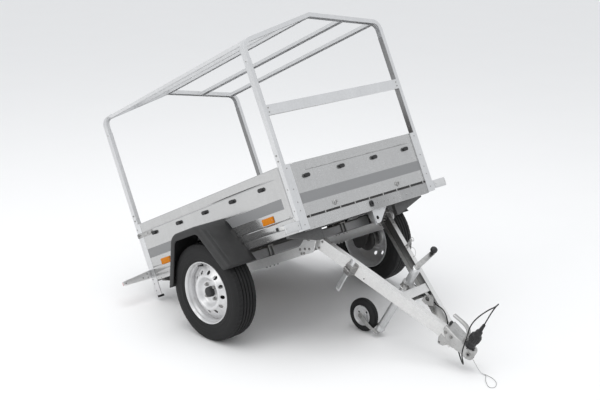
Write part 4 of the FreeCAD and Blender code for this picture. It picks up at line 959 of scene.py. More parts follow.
def tyre_shape(groove, pitches):
    """radius(t, s) = section(s) less the depth of the grooves, and of the cuts between blocks."""
    half_wall = np.array([
        (60, 174), (63.5, 178.5), (66, 183), (69.5, 187), (73.5, 194), (76.2, 203), (77.4, 204),
        (77.9, 208), (77.2, 210), (78.4, 222), (78.5, 232), (77.9, 233), (78.0, 236), (78.4, 237),
        (77.4, 250), (75.0, 262), (71.5, 270), (70.8, 271), (67.5, 278.5), (64.0, 284)])
    edges = np.concatenate([[centre - 3.6, centre - 2.7, centre + 2.7, centre + 3.6] for centre in GROOVES])
    across = np.sort(np.concatenate([edges, [-59, -52, -43, 43, 52, 59, -22, 22, 0, -5, 5, -28, 28, -17,
                                             17]]))
    crown = TYRE_RADIUS - 1.1 * (np.abs(across) / 45) ** 2 - 1.3 * np.maximum(np.abs(across) - 50, 0) / 9
    section = np.vstack([half_wall * (-1, 1), np.column_stack([across, crown]), half_wall[::-1]])
    s, radius = section.T
    in_groove = np.max([np.abs(s - centre) < 3 for centre in GROOVES], 0) & (radius > 280)
    block = (np.abs(s) > 38.5) & (radius > 277)
    fine = (np.abs(s) < 31) & (radius > 280) & ~in_groove
    steps = np.array([0, 0.40, 0.43, 0.56, 0.59])
    cut = np.tile([0, 0, 1, 1, 0], pitches)
    turn = ((np.arange(pitches)[:, None] + steps) / pitches * 2 * math.pi).ravel()
    depth = np.maximum(in_groove[:, None] * groove,
                       block[:, None] * cut * groove * np.clip((radius - 274) / 34, 0.04, 0.30)[:, None])
    depth = np.maximum(depth, fine[:, None] * cut * groove * 0.10)
    angle = turn + (s * 0.0011 * (radius > 270))[:, None]
    r = radius[:, None] - depth
    points = points_of(r * np.cos(angle), s[:, None], r * np.sin(angle))
    return Shape().grid(points + (0, WHEEL_ACROSS, 0), around=True, along=True)


def dish(radius):
    """How far out of the wheel's middle plane the pressed disc lies at a radius."""
    line = smooth_line([
        (24, 26), (34, 26), (44, 26.3), (56, 27), (63, 28), (69, 31), (75, 37), (80, 45), (85, 52),
        (89, 56), (94, 58), (100, 58), (105, 56), (110, 51.6), (118, 45), (127, 38.6), (136, 32.6),
        (145, 27), (153, 21.5), (161, 15.5), (169, 9)], 300)
    return np.interp(radius, line[:, 0], line[:, 1])


def disc_shape(hole):
    """The disc: rings of r * (cos t, sin t) at dish(r), and round each vent hole a patch whose
    points run from the hole's circle to the edge of its own sector of the band."""
    low, high, columns = 102.5, 134.5, 10
    shape = Shape()

    def wheel_points(radius, angle, out):
        return points_of(radius * np.cos(angle), WHEEL_ACROSS - out, radius * np.sin(angle))

    turn = full_turn(HOLES * columns)
    for radii in (np.linspace(24, low, 34), np.linspace(high, 169, 18)):
        radius = radii[:, None]
        shape.grid(wheel_points(radius, turn, dish(radius)), around=True)
    half = math.pi / HOLES
    side = np.linspace(-half, half, columns + 1)
    climb = np.linspace(low, high, columns + 1)
    rim_r = np.concatenate([np.full(columns, low), climb[:-1], np.full(columns, high), climb[:0:-1]])
    rim_t = np.concatenate([side[:-1], np.full(columns, half), side[:0:-1], np.full(columns, -half)])
    edge = np.stack([rim_r * np.cos(rim_t) - HOLE_RING, rim_r * np.sin(rim_t)], 1)
    round_hole = edge / np.linalg.norm(edge, axis=1, keepdims=True)
    rings = np.array([(0, 5.0), (0, 2.0), (0.35, 0.7), (1.2, 0.0)])
    inner = [(round_hole * (hole + grow), sink) for grow, sink in rings]
    outer = [(round_hole * (hole + 1.2) * (1 - k) + edge * k, 0.0) for k in (0.35, 0.7, 1.0)]
    for number in range(HOLES):
        rows = []
        for ring, sink in inner + outer:
            x, z = ring[:, 0] + HOLE_RING, ring[:, 1]
            radius, angle = np.hypot(x, z), np.arctan2(z, x) + number * 2 * half
            rows.append(wheel_points(radius, angle, dish(radius) - sink))
        shape.grid(np.stack(rows), around=True)
    return shape


def barrel_shape():
    """The rolled barrel: one closed section turned about the axle."""
    section = rounded([
        (69, 185.4, 2), (62.5, 184.5, 2), (61.5, 178.2, 3), (50, 177.4, 4), (38, 171, 6), (-28, 171, 6),
        (-46, 177.4, 4), (-61.5, 178.2, 3), (-62.5, 184.5, 2), (-69, 185.4, 2), (-72.6, 182.5, 2.4),
        (-69, 178.5, 3), (-60, 173.6, 5), (-46, 172.6, 5), (-28, 166.8, 6), (36, 166.8, 6), (49, 172.8, 5),
        (60, 173.6, 5), (69, 178.8, 3), (72.6, 182.5, 2.4)], 4)
    return Shape().turned((0, WHEEL_ACROSS, 0), RIGHT, section, 128, closed=True)


def wheel_bits():
    """The cap, the four wheel bolts and the valve: each one's shape and its finish."""
    out = WHEEL_ACROSS

    def spot(radius, degrees, depth):
        turn = math.radians(degrees)
        return radius * math.cos(turn), out - depth, radius * math.sin(turn)

    cap = Shape().turned((0, out, 0), RIGHT, [
        (20, 0.1), (20, 30.6), (27.5, 31), (29, 30), (47, 29.6), (51, 28.2), (53.4, 24.5), (54.4, 14),
        (54.6, 0.1)], 48)
    bolts = Shape()
    # Each head's phase is an angle of its own, as bolts are left by a spanner.
    for degrees in (45, 135, 225, 315):
        bolts.lathe(spot(BOLT_RING, degrees, 27), RIGHT, [(0, 11.6), (3.2, 11.2), (5, 8.8), (5.6, 8.6)], 32)
        bolts.lathe(spot(BOLT_RING, degrees, 33), RIGHT, [(0, 8.6), (7.4, 8.6), (9, 7.2), (9, 5.2),
                                                          (7.8, 4.4)], 6, phase=degrees)
    valve = Shape().lathe(spot(158, 118, 26), (0.05, -1, 0.12), [
        (0, 7), (6, 6.2), (9, 4.6), (24, 4.0), (25, 4.6), (34, 4.6), (35.5, 3.6)], 18)
    return {"hub_cap": (cap, "black_plastic"), "wheel_bolts": (bolts, "dark_zinc"),
            "valve": (valve, "black_plastic")}


class TRAILER_OT_wheels(bpy.types.Operator):
    """Add the treaded tyres, the pierced rims and what is bolted to them"""
    bl_idname = "trailer.wheels"
    bl_label = "Road wheels"

    def execute(self, context):
        settings = context.scene.trailer_wheels
        tyre = tyre_shape(settings.groove_depth / MM, settings.pitches)
        disc = disc_shape(settings.hole_radius / MM)
        barrel = barrel_shape()
        bits = wheel_bits()
        for side in ("right", "left"):
            body = side + "_wheel"

            def hand(shape):
                return shape if side == "right" else shape.mirrored()

            build("road_tyre_" + side, hand(tyre), AXLE_PLACE, "road_tyre", body, "tyre_" + side, smooth=28)
            build("wheel_disc_" + side, hand(disc), AXLE_PLACE, "silver_paint", body,
                  facing=(0, -1 if side == "right" else 1, 0), smooth=40, solid=3.6)
            build("wheel_barrel_" + side, hand(barrel), AXLE_PLACE, "silver_paint", body, "rim_" + side)
            for name, (shape, finish) in bits.items():
                build(name + "_" + side, hand(shape), AXLE_PLACE, finish, body)
        return {"FINISHED"}


# ---- Bed -------------------------------------------------------------------------------------


def wall_rows(low, creases):
    """Heights of a wall's rows: even ones, and five across each crease."""
    rows = list(np.linspace(low, WALL_TOP - 6, 14))
    for height, half, _ in creases:
        rows = [row for row in rows if abs(row - height) > half + 1.5]
        rows += [height - half, height - half * 0.4, height, height + half * 0.4, height + half]
    return np.sort(rows)


def folded_sheet(low, foot, creases, along, window):
    """A wall's outer skin as (depth inwards, height) at each place along it: a foot turned in, the
    wall, and a top folded in and down. Its creases sink by depth * cos^2 across their width, and
    the top one fades out towards the ends of the window."""
    rows = wall_rows(low + 4, creases)
    if foot:
        start = rounded([(foot, low - 300), (foot, low), (0, low, 2.5), (0, low + 300)])[1:-1]
    else:
        start = np.array([(0.0, low)])
    end = rounded([(0, 0), (0, WALL_TOP, 3.5), (20, WALL_TOP, 3.0), (20, WALL_TOP - 18)])[1:]
    section = np.vstack([start, np.column_stack([np.zeros(len(rows)), rows]), end])
    depth = np.zeros((len(section), len(along)))
    height = section[:, 1]
    for centre, half, sink in creases:
        wall = np.abs(height - centre) < half
        across = np.where(wall, np.cos((height - centre) / half * math.pi / 2) ** 2, 0)
        fade = np.clip((along - window[0]) / 25, 0, 1) * np.clip((window[1] - along) / 25, 0, 1)
        depth += across[:, None] * (fade if centre == TOP_CREASE else 1.0) * sink
    return section[:, :1] + depth, height[:, None]


class TRAILER_OT_walls(bpy.types.Operator):
    """Add the pressed side walls and the pressed front wall"""
    bl_idname = "trailer.walls"
    bl_label = "Walls"

    def execute(self, context):
        sink = context.scene.trailer_bed.crease_depth / MM
        along = np.concatenate([np.linspace(REAR + 54, -680, 3), np.linspace(-665, 640, 22),
                                np.linspace(655, FRONT - 30, 5)])
        depth, height = folded_sheet(0, 60, [(TOP_CREASE, 6, sink), (85, 4, sink * 0.8),
                                             (40, 4, sink * 0.6)], along, (-670, 655))
        side = Shape().grid(points_of(along, depth - HALF, height))
        build_sides("side_wall", side, "side_sheet", "side_panel", RIGHT, solid=SHEET_WALL)

        across = np.linspace(-FRONT_INNER, FRONT_INNER, 41)
        depth, height = folded_sheet(FLOOR_TOP, 0, [(TOP_CREASE, 3.2, sink * 0.9)], across, (-440, 490))
        front = Shape().grid(points_of(FRONT - depth, across, height))
        build("front_wall", front, BED, "front_sheet", "bed", "front_panel", facing=AHEAD, solid=SHEET_WALL)
        return {"FINISHED"}


GUARD_INNER, GUARD_OUTER = -566.0, -780.0


def guard_shape():
    """Arch carried across: arch(s) + inward(s) * depth(t) at y(t). inward is square to the arch, and
    level at its feet; depth is nought over the top and runs down round the outer lip."""
    arch = rounded([(-297, -68.7), (-124, 218.3, 85), (143, 218.3, 85), (305, -68.7)], 14)
    line = np.concatenate([np.linspace(arch[0], arch[1], 14)[:-1], arch[1:16],
                           np.linspace(arch[15], arch[16], 10)[1:-1], arch[16:-1],
                           np.linspace(arch[-2], arch[-1], 14)[1:]])
    ahead = np.gradient(line, axis=0)
    ahead /= np.linalg.norm(ahead, axis=1, keepdims=True)
    inward = np.stack([ahead[:, 1], -ahead[:, 0]], 1)
    level = np.clip(1 - np.arange(len(line)) / 4, 0, 1)
    for share, least, most in ((level, 0.5, None), (level[::-1], None, -0.5)):
        flat = np.stack([1 / inward[:, 0].clip(least, most), np.zeros(len(line))], 1)
        inward = inward * (1 - share[:, None]) + flat * share[:, None]
    turn = np.radians(np.linspace(0, 90, 7))
    bend = 19.0
    section = np.vstack([
        [(GUARD_INNER, 0), (-600, 0), (-650, 0), (-700, 0), (-728, 0), (-734, 0.4), (-738, 1.8),
         (-742, 1.8), (-746, 0.4), (-750, 0)], np.column_stack([GUARD_OUTER + bend * (1 - np.sin(turn)),
                                                                bend * (1 - np.cos(turn))]),
        [(GUARD_OUTER, 28), (GUARD_OUTER, 40), (GUARD_OUTER + 1.5, 43), (GUARD_OUTER + 5, 44)]])
    across, depth = section.T
    plan = line[:, None] + inward[:, None] * depth[None, :, None]
    return Shape().grid(points_of(plan[..., 0], across, plan[..., 1]))


class TRAILER_OT_guards(bpy.types.Operator):
    """Add the moulded mudguards"""
    bl_idname = "trailer.guards"
    bl_label = "Mudguards"

    def execute(self, context):
        wall = context.scene.trailer_bed.guard_wall / MM
        shape = guard_shape()
        build_sides("guard", shape, "guard_plastic", "mudguard", (0, -0.6, 1), solid=wall, smooth=50)
        return {"FINISHED"}


# ---- Pieces of the bed -----------------------------------------------------------------------

GATE_AXIS = (REAR - 6.0, 68.0)
POST_INNER = HALF - 40
SILL_JOINT = 262
HOOK_HEIGHT, SIDE_HOOK_STEP, FRONT_HOOK_STEP = WALL_TOP - 85, 271, 277
HINGES, LATCH_DROP = (-380, 0, 380), 88
MARKER_REACH, LAMP_END, LAMP_FOOT = 116, -771, 30


def sheet_section(face, inward, low, high, depth):
    """Outline of a channel of folded sheet: its web at the face, its flanges turned inward."""
    sheet, fold = 2.0, 3.0
    outer = [
        (face + depth * inward, low), (face, low, fold), (face, high, fold), (face + depth * inward, high)]
    step = sheet * inward
    inner = [(face + depth * inward, high - sheet), (face + step, high - sheet, fold - sheet + 0.4),
             (face + step, low + sheet, fold - sheet + 0.4), (face + depth * inward, low + sheet)]
    return rounded(outer + inner, 4)


def plate_with_hole(outline, centre, radius, low, high, axis):
    """A flat plate: rings run from the hole's circle to the outline on both faces, so that
    each point of a ring lies at the same angle about the hole's centre."""
    ring = np.asarray(outline, float) - centre
    closed = np.vstack([ring, ring[:1]])
    run = np.concatenate([[0], np.cumsum(np.linalg.norm(np.diff(closed, axis=0), axis=1))])
    even = np.sort(np.concatenate([np.linspace(0, run[-1], 72, endpoint=False), run[:-1]]))
    edge = np.column_stack([np.interp(even, run, closed[:, k]) for k in (0, 1)])
    hole = edge / np.linalg.norm(edge, axis=1, keepdims=True)
    rim = 0.5
    rings = [(hole * (radius + rim), low), (edge * 0.994, low), (edge, low + rim), (edge, high - rim),
             (edge * 0.994, high), (hole * (radius + rim), high), (hole * radius, high - rim),
             (hole * radius, low + rim)]
    points = np.stack([flat_ring(spot + centre, place, axis) for spot, place in rings])
    return Shape().grid(points, around=True, along=True)


def coil(start, end, radius, wire, turns):
    """A helix: start + (end - start) * s + radius * (cos t, sin t), with its end turns closed up."""
    start, end = np.array(start, float), np.array(end, float)
    axis, side, up = across_to(end - start)
    s = np.linspace(0, 1, int(turns * 22))
    t = s * turns * 2 * math.pi
    pitch = np.clip((s - 0.08) / 0.84, 0, 1)
    path = start + (end - start) * pitch[:, None] + radius * (
        side * np.cos(t)[:, None] + up * np.sin(t)[:, None])
    return Shape().swept(path, circle(wire, 10), up=axis)


def hook_shape(at, outward):
    """A twin-lobed hook: a foot, a neck and a head of radius 16 + 5 * cos(2t)."""
    turn = full_turn(48)
    lobes = (16 + 5 * np.cos(2 * turn))[:, None] * heading(turn)
    axis, side, up = across_to(outward)
    rings = [
        (0, 0.92, 0.6), (2.6, 0.92, 0.6), (3.4, 0.84, 0.6), (3.6, 0.62, 0.5), (8, 0.58, 0.5), (8.4, 0.9, 1),
        (9, 0.98, 1), (12.6, 1.0, 1), (14.6, 0.93, 1), (15.6, 0.8, 1), (16, 0.6, 1)]
    disc = circle(15.0, 48)
    plane = np.stack([side, up])
    points = np.stack([
        np.array(at, float) + depth * axis + (scale * (lobes * lobed + disc * (1 - lobed))) @ plane
        for depth, scale, lobed in rings])
    return Shape().grid(points, around=True, ends=True)


class TRAILER_OT_gate(bpy.types.Operator):
    """Add the tailgate with its hinge barrels and the over-centre latches"""
    bl_idname = "trailer.gate"
    bl_label = "Tailgate and latches"

    def execute(self, context):
        sink = context.scene.trailer_bed.crease_depth / MM
        half = POST_INNER - 5
        across = np.linspace(-half, half, 37)
        depth, height = folded_sheet(67, 20, [(TOP_CREASE, 6, sink), (214, 5, sink), (110, 5, sink)],
                                     across, (-half, half))
        gate = Shape().grid(points_of(REAR + depth, across, height))
        build("tailgate_sheet", gate, BED, "sheet", "gate", "tailgate", facing=BACK, solid=SHEET_WALL)
        barrels = Shape()
        for place in HINGES:
            barrels.turned((GATE_AXIS[0], place - 10.5, GATE_AXIS[1]), LEFT, [
                (0, 3.4), (0, 5.0), (0.6, 5.5), (20.4, 5.5), (21, 5.0), (21, 3.4)], 24, closed=True)
            barrels.prism(rounded([(place - 10, 69, 1), (place + 10, 69, 1), (place + 14, 108, 5),
                                   (place - 14, 108, 5)]), REAR - 2.2, REAR - 0.1, "x", 0.5)
            for side in (-5, 5):
                barrels.bolt((REAR - 2.2, place + side, 97), BACK, 2.8, "dome")
        for side in (-1, 1):
            barrels.slab((side * 500, 284), (side * 519, 312), 2, REAR - 2.4, REAR - 0.1, "x", 0.6)
        build("gate_hinges", barrels, BED, "zinc_fittings", "gate")

        latch = Shape()
        low = WALL_TOP - LATCH_DROP
        latch.slab((REAR + 2, low), (REAR + 165, low + 30), 4, -HALF - 4.0, -HALF - 0.1, "y", 1.0)
        latch.prism(rounded([(REAR + 58, low + 5, 5), (REAR + 126, low + 6, 3), (REAR + 126, low + 24, 3),
                             (REAR + 58, low + 25, 5)]), -HALF - 15, -HALF - 4.2, "y", 2.2)
        for height in (low + 9, low + 21):
            latch.swept([
                (REAR + 4, -HALF - 7, height), (REAR + 30, -HALF - 9, height),
                (REAR + 62, -HALF - 10, height)], circle(2.0, 10))
        latch.lathe((REAR + 8, -HALF - 7, low + 2), UP, [(0, 3.6), (26, 3.6)], 16)
        for along in (REAR + 36, REAR + 48, REAR + 152):
            latch.bolt((along, -HALF - 4, low + 15), RIGHT, 3.4, "dome")
        grip = Shape().prism(rounded([
            (REAR + 122, low + 3, 5), (REAR + 162, low + 7, 8), (REAR + 162, low + 23, 8),
            (REAR + 122, low + 27, 5)]), -HALF - 12, -HALF - 4.2, "y", 2.4)
        for rib in (134, 142, 150):
            grip.slab((REAR + rib, low + 6), (REAR + rib + 3, low + 24), 1, -HALF - 13, -HALF - 11, "y",
                      0.6)
        build("latches", latch.doubled(), BED, "zinc_fittings", "bed", "gate_latches", bevel=0.4)
        build("latch_grips", grip.doubled(), BED, "zinc_fittings", "bed")
        return {"FINISHED"}


class TRAILER_OT_sills(bpy.types.Operator):
    """Add the front sill, what is bolted to the bed's front and sides, and the hoops' sleeves"""
    bl_idname = "trailer.sills"
    bl_label = "Sills and plates"

    def execute(self, context):
        section = sheet_section(FRONT, -1, -5, SILL_TOP, 47)
        sill = Shape().prism(section, -FRONT_INNER, SILL_JOINT, "y")
        build("front_sill_main", sill, BED, "sill_sheet", "bed", "front_sill")
        inset_part = Shape().prism(section - (2.5, 0), SILL_JOINT + 2, FRONT_INNER, "y")
        build("front_sill_end", inset_part, BED, "dull_frame", "bed")
        slot = Shape().slab((-500, 63.2), (500, 72), 1, FRONT + 0.1, FRONT + 0.6, "x")
        build("slot_seal", slot, BED, "black_plastic", "bed")
        tabs = Shape()
        for across in np.linspace(-480, 480, 9):
            tabs.slab((across - 4, 60), (across + 4, 76), 1.5, FRONT + 0.2, FRONT + 2.2, "x", 0.6)
        for across in (59, 112, 148, 201):
            tabs.bolt((FRONT + 0.1, across, 27), AHEAD, 4.4)
        for across in (315, 364):
            tabs.bolt((FRONT - 2.3, across, 25), AHEAD, 4.4)
        for across in (-470, -330, -120, 470):
            tabs.bolt((FRONT + 0.1 - 2.4 * (across > SILL_JOINT), across, 8), AHEAD, 3.6, "dome")
        for across in (-266, 263):
            tabs.slab((across - 22, 93), (across + 22, 113), 5, FRONT + 0.1, FRONT + 3, "x", 1.0)
            for side in (-15, 15):
                tabs.bolt((FRONT + 3, across + side, 103), AHEAD, 3.6, "dome")
            loop = circle(1, 32) * (10, 12) + (across, 101)
            tabs.swept(flat_ring(loop, FRONT + 5.5, "x"), circle(2.2, 10), up=AHEAD, closed=True)
        build("front_fixings", tabs, BED, "zinc_fittings", "bed", bevel=0.3)
        eye = Shape()
        loop = circle(1, 36) * (10, 15) + (4, 34)
        eye.swept(flat_ring(loop, FRONT + 4.5, "x"), circle(4.2, 12), up=AHEAD, closed=True)
        eye.slab((-8, 17), (16, 29), 4, FRONT + 0.2, FRONT + 7, "x", 1.5)
        build("sill_eye", eye, BED, "black_plastic", "bed", smooth=50)

        bracket = plate_with_hole(rounded([(34, -4), (158, -4), (150, -14, 6), (78, -82, 14),
                                           (44, -86, 10)]), (62, -52), 11, 700, 705, "x")
        bracket.prism(rounded([(700, -92, 3), (705, -92, 3), (705, -5), (664, -5, 2), (664, -40, 10)]), 34,
                      38, "y", 0.8)
        for across in (138, 98):
            bracket.bolt((705, across, -12), AHEAD, 4)
        build("lock_bracket", bracket, BED, "frame", "bed")

        bolts = Shape()
        for height in (340, 300, 50, 12, -16, -60):
            bolts.bolt((REAR + 12, -HALF - 0.1, height), RIGHT, 3.6, "dome")
        sides = ((FRONT - 15, 237), (FRONT - 15, 116), (FRONT - 15, 30), (684, 95), (447, 8), (-640, 8))
        for along, height in sides:
            bolts.bolt((along, -HALF - 0.1, height), RIGHT, 3.2, "dome")
        for height in (350, 231, 157, 110, 30):
            bolts.bolt((FRONT + 0.1, -536, height), AHEAD, 3.4, "dome")
            bolts.bolt((REAR - 0.1, -546, height), BACK, 3.4, "dome")
        for height in (WALL_TOP + 26, WALL_TOP + 58):
            for along in (FRONT - 17, REAR + 17):
                bolts.bolt((along, -HALF - 0.1, height), RIGHT, 4.6)
        for height in (WALL_TOP + 298, WALL_TOP + 322):
            bolts.bolt((FRONT + 0.1, -530, height), AHEAD, 3.8)
        for along in (FRONT - 17, REAR + 17):
            bolts.bolt((along, -HALF - 0.1, WALL_TOP + 596), RIGHT, 3.6, "dome")
        build("body_bolts", bolts.doubled(), BED, "dark_zinc", "bed")

        sleeves = Shape()
        for low, high in ((FRONT - 34, FRONT - 1), (REAR + 1, REAR + 34)):
            sleeves.prism(rounded([
                (low, -HALF + 25), (high, -HALF + 25), (high, -HALF + 27.5, 1), (low, -HALF + 27.5, 1)]),
                          WALL_TOP + 1, WALL_TOP + 610, "z", 0.4)
            for height in (WALL_TOP + 40, WALL_TOP + 200, WALL_TOP + 400, WALL_TOP + 570):
                sleeves.bolt(((low + high) / 2, -HALF + 27.4, height), LEFT, 3.4, "dome")
        # The sleeves' dark steel is painted shade.
        build("leg_sleeves", sleeves.doubled(), BED, "painted_shade_steel", "bed")

        labels = Shape().slab((578, 40), (622, 60), 2, -HALF - 0.8, -HALF - 0.1, "y", 0.3)
        build("side_labels", labels, BED, "blank_label", "bed")
        square = Shape().slab((546, 42), (560, 62), 2, -HALF - 5, -HALF - 0.1, "y", 1.2)
        square.slab((549, 46), (557, 58), 2, -HALF - 6.4, -HALF - 4, "y", 0.8)
        build("side_buffer", square.doubled(), BED, "black_plastic", "bed")
        return {"FINISHED"}


class TRAILER_OT_lights(bpy.types.Operator):
    """Add the hooks, the reflectors, the front markers, the rear lamps and the feet of the posts"""
    bl_idname = "trailer.lights"
    bl_label = "Hooks, reflectors and lamps"

    def execute(self, context):
        hooks = Shape()
        for step in range(-2, 3):
            one = hook_shape((step * SIDE_HOOK_STEP - 14, -HALF, HOOK_HEIGHT), RIGHT)
            hooks = hooks.joined(one).joined(one.mirrored())
        for step in (-1.5, -0.5, 0.5, 1.5):
            hooks = hooks.joined(hook_shape((FRONT, step * FRONT_HOOK_STEP, HOOK_HEIGHT), AHEAD))
        build("lashing_hooks", hooks, BED, "black_plastic", "bed", "tarp_hooks", smooth=50)

        glass, rims, screws = Shape(), Shape(), Shape()
        for start, low in ((454, 93), (-582, 82)):
            rims.slab((start, low), (start + 98, low + 38), 4, -HALF - 5, -HALF - 0.1, "y", 1.2)
            glass.slab((start + 2.5, low + 2.5), (start + 95.5, low + 35.5), 4, -HALF - 7.8, -HALF - 4.6,
                       "y", 1.6, steps=6)
            for along in (start + 8, start + 90):
                screws.bolt((along, -HALF - 7.7, low + 19), RIGHT, 2.4, "dome")
        build("reflector_lenses", glass.doubled(), BED, "amber_lens", "bed", "side_reflectors")
        build("reflector_rims", rims.doubled(), BED, "amber_lens", "bed")

        plates, white = Shape(), Shape()
        edge = -HALF - MARKER_REACH
        for low, high, radius, depth in ((12, 58, 5, 4), (58, 60.5, 2, 22), (9.5, 12, 2, 16)):
            outline = rounded([(edge, low, radius), (-HALF, low), (-HALF, high), (edge, high, radius)])
            plates.prism(outline, FRONT - depth, FRONT - 2, "x", 0.5)
        white.slab((edge + 2, 14), (edge + 102, 56), 6, FRONT - 2, FRONT + 3, "x", 1.4, steps=6)
        for across in (edge + 9, edge + 95):
            screws.bolt((FRONT + 3, across, 35), AHEAD, 2.4, "dome")
        build("marker_brackets", plates.doubled(), BED, "frame", "bed", "marker_plates")
        build("marker_lenses", white.doubled(), BED, "white_lens", "bed", "front_markers")

        base, red, amber = Shape(), Shape(), Shape()

        def lift(across):
            """The lamp's height above its foot, which grows towards the bed."""
            return 22 + (across - LAMP_END) / 165 * 11

        def lamp_part(shape, start, end, depth):
            """One window of the lamp, between two places across."""
            outline = rounded([(start, LAMP_FOOT, 4), (start, LAMP_FOOT + lift(start), 5),
                               (end, LAMP_FOOT + lift(end), 5), (end, LAMP_FOOT, 4)])
            shape.prism(outline, REAR - depth, REAR - 5.5, "x", 2.0)

        base.prism(rounded([(-775, 28, 6), (-775, 54, 6), (-606, 65.5, 6), (-606, 28, 6)]), REAR - 6,
                   REAR - 0.2, "x", 1.5)
        lamp_part(red, LAMP_END, -722, 20)
        lamp_part(amber, -718, -668, 19)
        lamp_part(red, -664, -611, 20)
        for start in (-765, -757, -749, -741, -733, -658, -650, -642, -634, -626):
            red.prism(rounded([(start, 34, 1), (start, 46, 1), (start + 3, 46, 1), (start + 3, 34, 1)]),
                      REAR - 20.6, REAR - 18, "x", 0.8)
        for across in (-720, -666):
            screws.bolt((REAR - 6, across, 36), BACK, 2.2, "dome")
        build("lamp_bases", base.doubled(), BED, "black_plastic", "bed")
        build("lamp_lenses", red.doubled(), BED, "red_lens", "bed", "rear_lamps")
        build("lamp_turn_lenses", amber.doubled(), BED, "lamp_amber", "bed")
        carrier = Shape().prism(rounded([(-HALF, 24), (-HALF, 76), (-780, 56, 8), (-780, 27, 8)]), REAR,
                                REAR + 3, "x", 0.6)
        for root, tip, wall in ((24, 27, 3), (76, 56, -3)):
            rib = rounded([(-HALF, root), (-HALF, root + wall), (-779, tip + wall, 1), (-779, tip, 1)])
            carrier.prism(rib, REAR + 1, REAR + 22, "x", 0.6)
        for across, height in ((-760, 40), (-627, 41), (-590, 57), (-590, 35)):
            screws.bolt((REAR + 3, across, height), AHEAD, 4.0)
        build("lamp_carriers", carrier.doubled(), BED, "rail", "bed", "rear_lamp_brackets")
        build("lamp_screws", screws.doubled(), BED, "dark_zinc", "bed")

        feet = Shape().slab((REAR + 1, -HALF + 1), (REAR + 27, -526.5), 6, -106, -92, "z", 2.5)
        feet.lathe((REAR + 14, -546, -101), LEFT, [(-20, 3), (-19, 4.4), (19, 4.4), (20, 3)], 24)
        build("foot_pads", feet.doubled(), BED, "rubber_foot", "bed", "post_feet")
        return {"FINISHED"}


class TRAILER_OT_chassis(bpy.types.Operator):
    """Add the chassis' bolts and clamps, the brake drums and the mudguards' stays"""
    bl_idname = "trailer.chassis"
    bl_label = "Chassis fittings"

    def execute(self, context):
        parts = Shape()
        for along, height in ((430, -90), (430, -116), (470, -96), (505, -104), (452, -118)):
            parts.bolt((along, -339.1, height), RIGHT, 6.5)
        parts.bolt((535, -348, -45), RIGHT, 13)
        parts.lathe((535, -296, -45), LEFT, [(0, 13), (9, 13), (10, 11.5)], 6)
        for along in (613, -627):
            for across in (-460, -395):
                parts.bolt((along + 13.1, across, 30), AHEAD, 5)
        for across in (-326, -298):
            for along in (84, 156):
                parts.lathe((along, across, -82), UP, [(0, 4), (72, 4)], 14)
                parts.bolt((along, across, -128.3), DOWN, 6)
        parts.slab((78, -334), (162, -290), 4, -15, -9, "z", 1.2)
        parts.bolt((120, -HALF, -44), RIGHT, 11)
        parts.bolt((0, -HALF, -BED_RISE), RIGHT, 9)
        build("chassis_bolts", parts.doubled(), BED, "dark_zinc", "bed")
        drum = Shape().turned((0, -608, -BED_RISE), RIGHT, [
            (0, 18), (0, 60), (3, 66), (12, 74), (20, 75), (26, 72), (28, 60), (28, 18)], 56, closed=True)
        build("brake_drums", drum.doubled(), BED, "dark_iron", "bed", smooth=30)
        stay = Shape()
        for along in (-262, 262):
            stay.prism(rounded([
                (along - 12, -HALF - 26, 6), (along + 12, -HALF - 26, 6), (along + 12, -HALF + 2),
                (along - 12, -HALF + 2)]), -36, -32, "z", 0.8)
        build("guard_stays", stay.doubled(), BED, "frame", "bed")
        return {"FINISHED"}


# ---- Pieces of the drawbar -------------------------------------------------------------------

LEG, PROP = 505.0, 270.0
EYELET, BUTTON_AXIS = (871, -43.4, -72), (0.1, -1, 0.1)
ARM_SPREAD, ARM_TAPER = 316, 0.33


def arm_face(ahead):
    """Where the right arm's outer face lies across, at a place ahead of the hinge."""
    return -(ARM_SPREAD - ARM_TAPER * ahead)


def head_shape():
    """The pressed head: at each place u along it, a section of half width w(u), up to t at its top
    with a shallow groove t - d * exp(-(y / 12)^2), its shoulders rounded by r(u), and down to b(u);
    past the ball w falls as the circle sqrt(R^2 - (u - ball)^2)."""
    ball_radius = 32.0
    turn = np.linspace(0, math.pi / 2, 15)
    u = np.concatenate([np.linspace(850, BALL, 46), BALL + ball_radius * np.sin(turn[1:])])
    w = np.interp(u, [850, 945, 972, 1003, BALL], [46, 46, 43, 33.6, ball_radius])
    w[46:] = np.maximum(ball_radius * np.cos(turn[1:]), 0.05)
    r = np.minimum(np.interp(u, [850, 955, 1010, 1067], [7, 8, 12, 14]), w * 0.98)
    top = 40 - 9 * np.clip((u - 1046) / 21, 0, 1) ** 2
    low = np.interp(u, [850, 888, 900, 1067], [15, -20, -24, -24])
    groove = 3.0 * np.clip((u - 862) / 16, 0, 1) * np.clip((972 - u) / 16, 0, 1)
    bend = np.linspace(0, math.pi / 2, 7)
    flat = np.linspace(-1, 1, 15)[1:-1]
    skirt = 3.0 * np.clip((u - 930) / 10, 0, 1)
    y = np.concatenate([
        [-w - skirt, -w - skirt * 0.2, -w], (-w + r) - r * np.cos(bend)[:, None], (w - r) * flat[:, None],
        (w - r) + r * np.sin(bend)[:, None], [w, w + skirt * 0.2, w + skirt]])
    crest = top - groove * np.exp(-((w - r) * flat[:, None] / 12) ** 2)
    n = np.concatenate([
        [low, low + 4, low + 7], top - r + r * np.sin(bend)[:, None], crest,
        top - r + r * np.cos(bend)[:, None], [low + 7, low + 4, low]])
    return Shape().grid(points_of(u, y, n).transpose(1, 0, 2))


